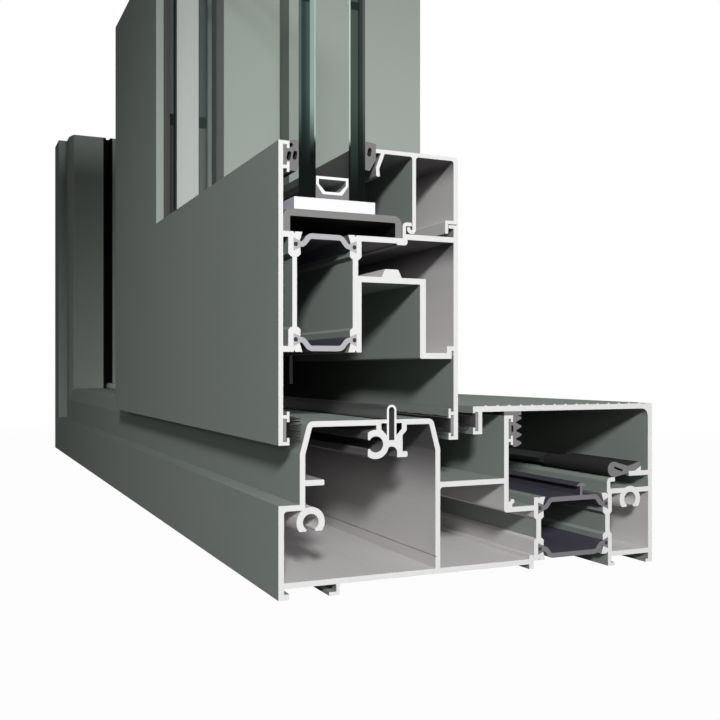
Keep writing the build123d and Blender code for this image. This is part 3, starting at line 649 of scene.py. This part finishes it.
@dataclass(frozen=True)
class CutMetal:
    """Drawn or rolled metal strip, bright where it is sawn."""

    sample: Sample
    skin: Coat
    cut: Coat
    line_across: float = 4.0
    line_along: float = 0.01
    line_swing: float = 0.2
    line_gloss: float = 0.12
    relief: float = 0.00001

    def material(self, name: str) -> bpy.types.Material:
        """Build the material of a metal strip.

        Args:
            name: The material's name.

        Returns:
            The new material.
        """
        made, graph = new_material(name)
        x, y, z = graph.place()
        cut = self.sample.cut_mask(x, z)
        drawn = graph.vector(x * self.line_along, y * self.line_across, z * self.line_across)
        lines = graph.noise(drawn, 1.0, LINE_DETAIL)
        skin = graph.shaded(self.skin.colour, lines.swing(self.line_swing))
        rise = self.cut.roughness - self.skin.roughness
        shader = graph.principled(**{
            "Base Color": graph.mix(skin, self.cut.colour, cut),
            "Roughness": self.skin.roughness + lines * self.line_gloss + cut * rise,
            "Metallic": self.skin.metallic + cut * (self.cut.metallic - self.skin.metallic),
            "Normal": graph.bump(lines, self.relief),
        })
        graph.surface(shader)
        return made


@dataclass(frozen=True)
class EdgeStripe:
    """One stripe that shows in the cut edge of a pane, from a share of its thickness onwards, with painted
    shade that darkens it towards the bottom.
    """

    start: float
    colour: Colour
    softness: float = 0.06
    fade: Point = (140.0, 172.0)
    banded: bool = False


@dataclass(frozen=True)
class FloatGlass:
    """A clear pane whose cut edges are dark green, as thick glass looks from its edge, with painted shade in
    them and painted reflections on its far ends.
    """

    sample: Sample
    stripes: tuple[EdgeStripe, ...]
    end_reflection_above: Colour
    end_reflection_below: Colour
    face: Colour = (0.72, 0.86, 0.78)
    face_cover: float = 0.03
    low_edge_shade: Colour = (0.004, 0.0055, 0.0048)
    shadow: Colour = (0.009, 0.015, 0.012)
    cut_band: Point = (196.5, 199.6)
    end_band: Point = (206.0, 212.5)
    band_edge: float = 0.4
    face_roughness: float = 0.03
    rim_roughness: float = 0.4
    ior: float = 1.45

    def band(self, z: Signal, limits: Point) -> Signal:
        """Mark a level stretch between two heights.

        Args:
            z: The height.
            limits: Where the stretch starts and ends.

        Returns:
            A mask that is 1 in the stretch.
        """
        low, high = limits
        return z.ramp(low, low + self.band_edge) - z.ramp(high - self.band_edge, high)

    def cut_colour(self, graph: Graph, through: Signal, z: Signal) -> Signal:
        """Lay the stripes of the cut edge side by side.

        Args:
            graph: The node graph.
            through: The place in the thickness, from 0 outside to 1 inside.
            z: The height.

        Returns:
            The colour of the cut edge.
        """
        colour: Signal | None = None
        for stripe in self.stripes:
            # Painted shade: each stripe darkens towards the bottom of the pane, and banded stripes carry a
            # painted shadow band.
            tone = graph.mix(self.low_edge_shade, stripe.colour, z.ramp(*stripe.fade))
            if stripe.banded:
                tone = graph.mix(tone, self.shadow, self.band(z, self.cut_band))
            share = through.ramp(stripe.start, stripe.start + stripe.softness)
            colour = tone if colour is None else graph.mix(colour, tone, share)
        return colour

    def material(self, name: str, low: Vector, high: Vector) -> bpy.types.Material:
        """Build the material of one pane.

        Args:
            name: The material's name.
            low: The pane's lowest corner, in metres.
            high: The pane's highest corner, in metres.

        Returns:
            The new material.
        """
        made, graph = new_material(name)
        made.surface_render_method = "BLENDED"
        x, y, z = graph.place()
        margin = self.sample.margin
        cut = self.sample.cut_mask(x, z)
        far = (x < low.x / MM + margin) | (z < low.z / MM + margin)
        through = (y - low.y / MM) / ((high.y - low.y) / MM)
        edge = self.cut_colour(graph, through, z)
        # Painted reflections: the far ends take one tone above the dark band and another below it, with a
        # painted shadow band between.
        band_top = self.end_band[1]
        end = graph.mix(self.end_reflection_below, self.end_reflection_above, z.ramp(band_top - self.band_edge, band_top))
        end = graph.mix(end, self.shadow, self.band(z, self.end_band))
        tint = graph.mix(self.face, edge, cut)
        tint = graph.mix(tint, end, far)
        rims = cut | far
        shader = graph.principled(**{
            "Base Color": tint,
            "Roughness": self.face_roughness + rims * (self.rim_roughness - self.face_roughness),
            "Alpha": self.face_cover + rims * (1.0 - self.face_cover),
            "IOR": self.ior,
            "Specular IOR Level": 0.0,
        })
        graph.surface(shader)
        return made


def new_material(name: str) -> tuple[bpy.types.Material, Graph]:
    """Make an empty node material.

    Args:
        name: The material's name.

    Returns:
        The material and its node graph.
    """
    made = bpy.data.materials.new(name)
    made.use_nodes = True
    return made, Graph(made.node_tree)


def dress(node: bpy.types.Object, material: bpy.types.Material) -> None:
    """Give a CAD node its material.

    Args:
        node: The CAD node's object.
        material: The material for all its slots.
    """
    if not node.material_slots:
        node.data.materials.append(material)
    for place in node.material_slots:
        place.material = material


def add_object(name: str, data: bpy.types.ID) -> bpy.types.Object:
    """Make an object and put it in the scene.

    Args:
        name: The object's name.
        data: Its mesh, lamp or camera.

    Returns:
        The new object.
    """
    made = bpy.data.objects.new(name, data)
    bpy.context.scene.collection.objects.link(made)
    return made


def add_mesh(name: str, mesh: bmesh.types.BMesh, material: bpy.types.Material) -> bpy.types.Object:
    """Turn a bmesh into an object.

    Args:
        name: The object's name.
        mesh: The finished bmesh, which is freed.
        material: Its material.

    Returns:
        The new object.
    """
    data = bpy.data.meshes.new(name)
    mesh.to_mesh(data)
    mesh.free()
    data.materials.append(material)
    return add_object(name, data)


def add_piece(name: str, mesh: bmesh.types.BMesh, material: bpy.types.Material, body: str) -> bpy.types.Object:
    """Turn a bmesh into a piece of the object.

    Args:
        name: The piece's name.
        mesh: The finished bmesh, which is freed.
        material: Its material.
        body: The CAD body that it rides on.

    Returns:
        The new object.
    """
    made = add_mesh(name, mesh, material)
    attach(made, body)
    log.info("%s: %d faces on %s", name, len(made.data.polygons), body)
    return made


@dataclass(frozen=True)
class Runs:
    """The section coordinates of the profiles: two in the frame, two in the sash and the post."""

    sill: Section
    jamb: Section
    rail: Section
    stile: Section
    post: Section

    @classmethod
    def of_sample(cls, sample: Sample, sash_low: Vector, post_x: float) -> Runs:
        """Set up all five from the corners that they start at.

        Args:
            sample: Where the sample is cut.
            sash_low: The lowest corner of the sash, in metres.
            post_x: The right side of the mullion, in metres.

        Returns:
            The five sets of section coordinates.
        """
        frame = (sample.left_x, 0.0, sample.outer_y)
        sash = (sash_low.x / MM, sash_low.z / MM, sample.outer_y)
        return cls(
            sill=Section(Run.SILL, *frame),
            jamb=Section(Run.JAMB, *frame),
            rail=Section(Run.SILL, *sash),
            stile=Section(Run.JAMB, *sash),
            post=Section(Run.MULLION, post_x / MM, 0.0, sample.outer_y),
        )


@dataclass
class Profiles:
    """The aluminium shells of frame, sash, threshold and mullion."""

    sample: Sample
    nodes: dict[str, bpy.types.Object]
    runs: Runs
    frame_chambers: Chambers = Chambers((
        rectangle((0.95, 4.65), (59.05, 29.95)),
        Outline((
            (8.35, 28.0), (59.05, 28.0), (59.05, 47.5), (56.2, 57.35), (11.2, 57.35), (8.35, 47.5),
        )),
        rectangle((59.05, 4.65), (87.45, 34.95)),
        rectangle((86.0, 4.65), (100.4, 24.3)),
    ), shade_from=26.0, shade_to=50.0, outer_wall=1.6)
    rear_chambers: Chambers = Chambers((
        rectangle((134.4, 4.55), (154.05, 28.65)),
    ), shade_from=24.0, shade_to=34.0)
    sash_chambers: Chambers = Chambers((
        rectangle((28.0, 55.4), (66.3, 69.2)),
        rectangle((46.0, 55.4), (66.3, 70.65)),
        rectangle((53.15, 29.6), (66.3, 56.0)),
    ), shade_from=60.0, shade_to=70.0)
    bead_chambers: Chambers = Chambers((
        rectangle((49.7, 69.0), (66.3, 99.3)),
    ), shade_from=90.0, shade_to=101.0)
    # The rail pocket gets painted shade, near-black, in the front profiles listed next.
    shaded_rail_pocket: tuple[Outline, ...] = (rectangle((36.8, 50.9), (45.2, 58.4)),)
    pocket_shaded: tuple[str, ...] = ("sill_front_profile", "jamb_front_profile")

    def build(self) -> None:
        """Dress every aluminium profile."""
        finish = PaintedAluminium(self.sample)
        sill, jamb = self.runs.sill, self.runs.jamb
        rail, stile, post = self.runs.rail, self.runs.stile, self.runs.post
        plan: dict[str, tuple[Section, Chambers | None]] = {
            "sill_front_profile": (sill, self.frame_chambers),
            "sill_rear_profile": (sill, self.rear_chambers),
            "jamb_front_profile": (jamb, self.frame_chambers),
            "jamb_rear_profile": (jamb, self.rear_chambers),
            "threshold_cover": (sill, None),
            "fixed_sill_bead": (sill, None),
            "fixed_jamb_bead": (jamb, None),
            "sash_rail_outer_shell": (rail, None),
            "sash_rail_inner_shell": (rail, self.sash_chambers),
            "sash_rail_bead": (rail, self.bead_chambers),
            "sash_stile_outer_shell": (stile, None),
            "sash_stile_inner_shell": (stile, self.sash_chambers),
            "sash_stile_bead": (stile, self.bead_chambers),
            "stile_cover_strip": (stile, None),
            "mullion_cover": (post, None),
            "mullion_front_shell": (post, None),
            "mullion_rear_shell": (post, None),
            "mullion_bead": (post, None),
        }
        for name, (section, chambers) in plan.items():
            slots = self.shaded_rail_pocket if name in self.pocket_shaded else ()
            material = finish.material(f"{name}_finish", section, chambers, slots)
            dress(self.nodes[name], material)
            log.info("%s dressed", name)


@dataclass
class SealsAndStrips:
    """Gaskets, isolator strips, packers and the other plastic pieces."""

    sample: Sample
    nodes: dict[str, bpy.types.Object]
    runs: Runs
    frame_wires: tuple[Point, ...] = ((102.1, 24.1), (102.1, 9.0), (132.7, 24.1), (132.7, 9.0))
    sash_wires: tuple[Point, ...] = ((6.0, 34.7), (6.0, 66.0), (27.05, 34.7), (27.05, 66.0))

    def build_isolators(self) -> None:
        """Dress the isolator strips, whose heads carry a sealing wire."""
        frame_strip = CutPlastic(
            self.sample, Coat((0.060, 0.056, 0.075), 0.5), Coat((0.108, 0.104, 0.112), 0.6),
        )
        sash_strip = CutPlastic(
            self.sample, Coat((0.055, 0.052, 0.070), 0.5), Coat((0.27, 0.265, 0.28), 0.6),
        )
        runs = self.runs
        plan: dict[str, tuple[CutPlastic, Section, tuple[Point, ...]]] = {
            "sill_isolators": (frame_strip, runs.sill, self.frame_wires),
            "jamb_isolators": (frame_strip, runs.jamb, self.frame_wires),
            "mullion_isolators": (frame_strip, runs.post, ()),
            "sash_rail_isolators": (sash_strip, runs.rail, self.sash_wires),
            "sash_stile_isolators": (sash_strip, runs.stile, self.sash_wires),
        }
        for name, (finish, section, wires) in plan.items():
            dress(self.nodes[name], finish.material(f"{name}_plastic", section, wires))
            log.info("%s dressed", name)

    def build(self) -> None:
        """Dress every rubber and plastic piece."""
        self.build_isolators()
        cut_rubber = Coat((0.115, 0.112, 0.112), 0.7)
        nylon = Coat((0.02, 0.02, 0.02), 0.4)
        finishes: dict[str, tuple[CutPlastic, tuple[str, ...]]] = {
            "gasket_rubber": (
                CutPlastic(self.sample, Coat((0.026, 0.026, 0.026), 0.75), cut_rubber),
                ("back_wall_gasket", "fixed_inner_gasket", "mullion_gasket", "threshold_clip_gasket"),
            ),
            "glazing_rubber": (
                CutPlastic(self.sample, Coat((0.055, 0.054, 0.055), 0.75), cut_rubber),
                ("inner_glazing_gasket", "outer_glazing_gasket"),
            ),
            "setting_block": (
                CutPlastic(self.sample, Coat((0.62, 0.62, 0.70), 0.4), Coat((0.53, 0.53, 0.58), 0.5)),
                ("setting_block",),
            ),
            "fixed_packer": (
                CutPlastic(self.sample, Coat((0.10, 0.10, 0.11), 0.5), Coat((0.2, 0.2, 0.21), 0.6)),
                ("fixed_setting_block",),
            ),
            "glazing_bridge": (
                CutPlastic(
                    self.sample, Coat((0.006, 0.006, 0.006), 0.6), Coat((0.135, 0.133, 0.130), 0.6),
                ),
                ("glazing_bridge",),
            ),
            "edge_sealant": (
                CutPlastic(self.sample, Coat((0.012, 0.012, 0.013), 0.6), Coat((0.13, 0.13, 0.13), 0.7)),
                ("edge_sealant", "fixed_edge_seal"),
            ),
            "roller_nylon": (CutPlastic(self.sample, nylon, nylon), ("roller_wheels",)),
        }
        for name, (finish, members) in finishes.items():
            material = finish.material(name)
            for member in members:
                dress(self.nodes[member], material)
            log.info("%s on %d nodes", name, len(members))


@dataclass
class BareMetal:
    """The rail cap, the spacer and the roller carriage."""

    sample: Sample
    nodes: dict[str, bpy.types.Object]

    def build(self) -> None:
        """Dress every bare metal piece."""
        bright = Coat((0.48, 0.48, 0.48), 0.4, 0.1)
        skins: dict[str, tuple[Coat, str]] = {
            "stainless_rail": (Coat((0.55, 0.55, 0.55), 0.3, 0.9), "rail_clip"),
            "spacer_aluminium": (Coat((0.33, 0.35, 0.335), 0.5, 0.1), "spacer_bar"),
            # Painted shade: the carriage's zinc is coloured near-black so it sinks into the shade of the
            # roller channel.
            "carriage_zinc_painted_shade": (Coat((0.055, 0.055, 0.056), 0.6, 0.2), "roller_housing"),
        }
        for name, (skin, member) in skins.items():
            dress(self.nodes[member], CutMetal(self.sample, skin, bright).material(name))
            log.info("%s on %s", name, member)


@dataclass
class GlassUnits:
    """The sealed unit of the sash and the one of the fixed light."""

    sample: Sample
    nodes: dict[str, bpy.types.Object]

    def build(self) -> None:
        """Dress every pane."""
        outer = FloatGlass(self.sample, (
            EdgeStripe(0.0, (0.050, 0.075, 0.066), fade=(146.0, 164.0)),
            EdgeStripe(0.10, (0.016, 0.028, 0.027), softness=0.10, banded=True),
            EdgeStripe(0.30, (0.032, 0.053, 0.048), softness=0.30, banded=True),
            EdgeStripe(0.63, (0.150, 0.205, 0.188), fade=(146.0, 166.0)),
            EdgeStripe(0.88, (0.220, 0.275, 0.250), fade=(150.0, 154.0)),
        ), end_reflection_above=(0.110, 0.132, 0.137), end_reflection_below=(0.057, 0.058, 0.058))
        inner = FloatGlass(self.sample, (
            EdgeStripe(0.0, (0.290, 0.350, 0.325), fade=(150.0, 153.5)),
            EdgeStripe(0.06, (0.032, 0.047, 0.039), fade=(132.0, 172.0), banded=True),
            EdgeStripe(0.52, (0.010, 0.014, 0.014)),
            EdgeStripe(0.62, (0.021, 0.027, 0.025)),
            EdgeStripe(0.82, (0.055, 0.066, 0.062)),
        ), end_reflection_above=(0.058, 0.070, 0.073), end_reflection_below=(0.082, 0.104, 0.090))
        panes = {
            "outer_pane": outer,
            "inner_pane": inner,
            "fixed_outer_pane": outer,
            "fixed_inner_pane": inner,
        }
        for name, finish in panes.items():
            low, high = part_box(name)
            dress(self.nodes[name], finish.material(f"{name}_glass", low, high))
            log.info("%s dressed", name)


@dataclass
class PileBrush:
    """One weather brush: a woven backing strip and rows of bristles that wipe a face.

    The corners are in metres, and every other length is in millimetres.
    """

    name: str
    body: str
    back_y: float
    tip_y: float
    low: Vector
    high: Vector
    backing_thickness: float = 1.2
    rows: int = 8
    tuft_length: float = 12.0
    tuft_bristles: int = 15
    bristle_radius: float = 0.16
    bristle_sides: int = 3
    bristle_steps: int = 3
    sag: float = 0.9
    row_scatter: float = 0.06
    fan: float = 1.4
    lean_scatter: float = 0.25
    shortest: float = 0.9
    strip_rounding: float = 0.25
    seed: int = 3

    @property
    def reach(self) -> float:
        """How far the bristles stand out of their backing, with its sign."""
        side = math.copysign(1.0, self.tip_y - self.back_y)
        return self.tip_y - self.back_y - side * self.backing_thickness

    def bristle(self, mesh: bmesh.types.BMesh) -> list[bmesh.types.BMVert]:
        """Add one bristle at the origin, which reaches along Y and sags towards its tip.

        Args:
            mesh: The bmesh that it's added to.

        Returns:
            Its vertices.
        """
        turn = Matrix.Rotation(math.radians(90.0), 4, "X")
        ring = bmesh.ops.create_circle(
            mesh, cap_ends=True, segments=self.bristle_sides, radius=self.bristle_radius, matrix=turn,
        )
        verts = list(ring["verts"])
        face = verts[0].link_faces[0]
        for step in range(self.bristle_steps):
            grown = bmesh.ops.extrude_face_region(mesh, geom=[face])["geom"]
            moved = [part for part in grown if isinstance(part, bmesh.types.BMVert)]
            face = next(part for part in grown if isinstance(part, bmesh.types.BMFace))
            drop = ((step + 1) ** 2 - step**2) / self.bristle_steps**2 * self.sag
            bmesh.ops.translate(mesh, vec=(0.0, self.reach / self.bristle_steps, -drop), verts=moved)
            verts.extend(moved)
        return verts

    def pile(self) -> bmesh.types.BMesh:
        """Model the bristles over one tuft length, which is repeated along the brush.

        Returns:
            The mesh of all rows.
        """
        chance = random.Random(self.seed)
        mesh = bmesh.new()
        first = self.bristle(mesh)
        origin = [*first, *{edge for vert in first for edge in vert.link_edges},
                  *{face for vert in first for face in vert.link_faces}]
        root_y = self.tip_y - self.reach
        height = (self.high.z - self.low.z) / MM
        for row in range(self.rows):
            share = (row + 0.5) / self.rows
            for index in range(self.tuft_bristles):
                x = self.low.x / MM + self.tuft_length * (index + chance.random()) / self.tuft_bristles
                z = self.low.z / MM + height * share
                z += chance.uniform(-self.row_scatter, self.row_scatter)
                lean = (0.5 - share) * self.fan + chance.uniform(-self.lean_scatter, self.lean_scatter)
                copy = bmesh.ops.duplicate(mesh, geom=origin)["geom"]
                verts = [part for part in copy if isinstance(part, bmesh.types.BMVert)]
                bmesh.ops.scale(mesh, vec=(1.0, chance.uniform(self.shortest, 1.0), lean), verts=verts)
                bmesh.ops.translate(mesh, vec=(x, root_y, z), verts=verts)
        bmesh.ops.delete(mesh, geom=first, context="VERTS")
        bmesh.ops.recalc_face_normals(mesh, faces=mesh.faces)
        bmesh.ops.scale(mesh, vec=(MM, MM, MM), verts=mesh.verts)
        return mesh

    def backing(self) -> bmesh.types.BMesh:
        """Model the strip that the bristles stand in.

        Returns:
            The mesh of the strip.
        """
        mesh = bmesh.new()
        root_y = self.tip_y - self.reach
        size = self.high - self.low
        size.y = abs(root_y - self.back_y) * MM
        middle = (self.high + self.low) / 2
        middle.y = (root_y + self.back_y) / 2 * MM
        place = Matrix.Translation(middle) @ Matrix.Diagonal((*size, 1.0))
        bmesh.ops.create_cube(mesh, size=1.0, matrix=place)
        bmesh.ops.bevel(mesh, geom=mesh.edges, offset=self.strip_rounding * MM, affect="EDGES",
                        segments=2, profile=0.5, material=-1)
        return mesh

    def build(self, pile: bpy.types.Material, backing: bpy.types.Material) -> list[bpy.types.Object]:
        """Make the strip and its bristles.

        Args:
            pile: The bristles' material.
            backing: The strip's material.

        Returns:
            Both pieces.
        """
        strip = add_piece(f"{self.name}_backing", self.backing(), backing, self.body)
        made = add_piece(f"{self.name}_pile", self.pile(), pile, self.body)
        repeat = made.modifiers.new("along", "ARRAY")
        repeat.use_relative_offset = False
        repeat.use_constant_offset = True
        repeat.constant_offset_displace = (self.tuft_length * MM, 0.0, 0.0)
        repeat.count = int((self.high.x - self.low.x) / MM / self.tuft_length)
        return [strip, made]


@dataclass
class Brushes:
    """The three weather brushes: two on the sash's rail and one on the threshold cover."""

    sample: Sample
    sash_pile_depth: float = 6.9
    inner_pile_depth: float = 6.4
    threshold_pile_depth: float = 8.0
    pile_dark: Colour = (0.008, 0.008, 0.008)
    pile_light: Colour = (0.05, 0.05, 0.05)
    light_share: Point = (0.35, 0.75)
    pile_roughness: float = 0.6
    pile_specular: float = 0.2
    strand_across: float = 2.0
    strand_along: float = 0.3
    strand_gloss: float = 0.2

    def pile_material(self) -> bpy.types.Material:
        """Build the black pile's material."""
        made, graph = new_material("brush_pile")
        x, y, z = graph.place()
        place = graph.vector(x * self.strand_across, y * self.strand_along, z * self.strand_across)
        strand = graph.noise(place, 1.0)
        shader = graph.principled(**{
            "Base Color": graph.mix(self.pile_dark, self.pile_light, strand.ramp(*self.light_share)),
            "Roughness": self.pile_roughness + strand * self.strand_gloss,
            "Specular IOR Level": self.pile_specular,
        })
        graph.surface(shader)
        return made

    def build(self) -> None:
        """Put all three brushes in place of their plain solids."""
        pile = self.pile_material()
        woven = CutPlastic(self.sample, Coat((0.10, 0.10, 0.10), 0.8), Coat((0.16, 0.16, 0.16), 0.8))
        backing = woven.material("brush_backing")
        low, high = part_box("sash_brushes")
        back, tip = low.y / MM, low.y / MM + self.sash_pile_depth
        outer = PileBrush("outer_sash_brush", "sash", back, tip, low, high)
        back, tip = high.y / MM, high.y / MM - self.inner_pile_depth
        inner = PileBrush("inner_sash_brush", "sash", back, tip, low, high, seed=5)
        for piece in outer.build(pile, backing) + inner.build(pile, backing):
            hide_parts("sash_brushes")
        low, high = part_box("threshold_brush")
        back, tip = high.y / MM, high.y / MM - self.threshold_pile_depth
        cover = PileBrush("threshold_cover_brush", "frame", back, tip, low, high, seed=7)
        for piece in cover.build(pile, backing):
            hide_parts("threshold_brush")


@dataclass
class Studio:
    """Floor, world, lamps and camera, in metres, watts and degrees."""

    floor_size: float = 8.0
    floor_tone: float = 0.25
    floor_roughness: float = 0.9
    floor_white: float = 0.975
    shadow_reach: float = 0.9
    shadow_core: float = 0.4
    ambient: float = 0.08
    key_place: Point3 = (1.25, -0.40, 0.50)
    key_aim: Point3 = (0.33, 0.05, 0.0)
    key_cone: float = 45.0
    key_blend: float = 0.8
    key_size: float = 0.07
    key_power: float = 50.0
    far_place: Point3 = (2.25, 0.06, 0.34)
    far_size: float = 0.35
    far_power: float = 26.0
    soft_aim: Point3 = (0.20, 0.0, 0.12)
    front_place: Point3 = (-0.25, -1.60, 0.60)
    front_size: float = 0.8
    front_power: float = 1.8
    back_place: Point3 = (-0.30, 1.70, 0.45)
    back_size: float = 1.0
    back_power: float = 9.0
    camera_place: Point3 = (0.6166, -0.17705, 0.07525)
    camera_turn: float = 65.83
    lens: float = 46.454
    sensor: float = 36.0
    horizon_row: float = 370.0
    image_rows: float = 720.0

    def build(self) -> None:
        """Set up everything round the object."""
        self.make_floor()
        self.make_world()
        self.make_key()
        self.make_lamp("far", self.far_place, self.far_power, self.far_size)
        self.make_lamp("front", self.front_place, self.front_power, self.front_size)
        self.make_lamp("back", self.back_place, self.back_power, self.back_size)
        self.make_camera()
        bpy.context.scene.view_settings.view_transform = "Standard"

    def make_floor(self) -> None:
        """Lay a plain pale floor that looks white and keeps a soft shadow."""
        made, graph = new_material("floor_white")
        matt = graph.principled(**{
            "Base Color": (self.floor_tone,) * 3,
            "Roughness": self.floor_roughness,
            "Specular IOR Level": 0.0,
        })
        glow = graph.node("ShaderNodeEmission", None, Color=WHITE, Strength=1.0).outputs[0]
        x, y, _ = graph.place()
        reach = self.shadow_reach / MM
        fade = x.distance(y).ramp(reach * self.shadow_core, reach)
        mixed = graph.node("ShaderNodeMixShader", None)
        graph.feed(mixed.inputs[0], graph.seen() * (self.floor_white + fade * (1.0 - self.floor_white)))
        graph.feed(mixed.inputs[1], matt)
        graph.feed(mixed.inputs[2], glow)
        graph.surface(mixed.outputs[0])
        mesh = bmesh.new()
        bmesh.ops.create_grid(mesh, x_segments=1, y_segments=1, size=self.floor_size / 2)
        floor = add_mesh("floor", mesh, made)
        floor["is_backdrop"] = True

    def make_world(self) -> None:
        """Make a world that is white to the eye and soft as a lamp."""
        world = bpy.data.worlds.new("studio")
        world.use_nodes = True
        bpy.context.scene.world = world
        graph = Graph(world.node_tree)
        strength = self.ambient + graph.seen() * (1.0 - self.ambient)
        background = graph.node("ShaderNodeBackground", None, Color=WHITE, Strength=strength)
        graph.node("ShaderNodeOutputWorld", None, Surface=background.outputs[0])

    def make_key(self) -> None:
        """Hang the lamp that lights the cut face, whose soft-edged cone ends before the jamb."""
        lamp = bpy.data.lights.new("key", "SPOT")
        lamp.energy = self.key_power
        lamp.shadow_soft_size = self.key_size
        lamp.spot_size = math.radians(self.key_cone)
        lamp.spot_blend = self.key_blend
        self.hang("key", lamp, self.key_place, self.key_aim)

    def hang(self, name: str, lamp: bpy.types.Light, place: Point3, aim: Point3) -> None:
        """Put a lamp in its place and turn it towards a point.

        Args:
            name: The object's name.
            lamp: The lamp.
            place: Where it hangs.
            aim: What it points at.
        """
        made = add_object(name, lamp)
        made.location = place
        made.rotation_euler = (Vector(aim) - Vector(place)).to_track_quat("-Z", "Y").to_euler()

    def make_lamp(self, name: str, place: Point3, power: float, size: float) -> None:
        """Hang a square soft lamp.

        Args:
            name: The lamp's name.
            place: Where it hangs.
            power: Its power in watts.
            size: The side of its square.
        """
        lamp = bpy.data.lights.new(name, "AREA")
        lamp.energy = power
        lamp.size = size
        self.hang(name, lamp, place, self.soft_aim)

    def make_camera(self) -> None:
        """Set the camera where the photograph was taken from."""
        data = bpy.data.cameras.new("camera")
        data.sensor_width = self.sensor
        data.lens = self.lens
        data.shift_y = (self.horizon_row - self.image_rows / 2) / self.image_rows
        camera = add_object("camera", data)
        camera.location = self.camera_place
        camera.rotation_euler = Euler((math.radians(90.0), 0.0, math.radians(self.camera_turn)))
        bpy.context.scene.camera = camera


def main() -> None:
    """Build the looks of the whole sample."""
    logging.basicConfig(level=logging.INFO, format="%(name)s: %(message)s")
    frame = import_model()
    cad_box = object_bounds()
    low, high = cad_box
    sample = Sample(cut_x=high.x / MM, top_z=high.z / MM, outer_y=low.y / MM, left_x=low.x / MM)
    nodes = frame["nodes"]
    sash_low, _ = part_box("sash_rail_outer_shell")
    _, mullion_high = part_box("mullion_cover")
    runs = Runs.of_sample(sample, sash_low, mullion_high.x)

    Profiles(sample, nodes, runs).build()
    SealsAndStrips(sample, nodes, runs).build()
    BareMetal(sample, nodes).build()
    GlassUnits(sample, nodes).build()
    Brushes(sample).build()
    Studio().build()


if __name__ == "__main__":
    main()
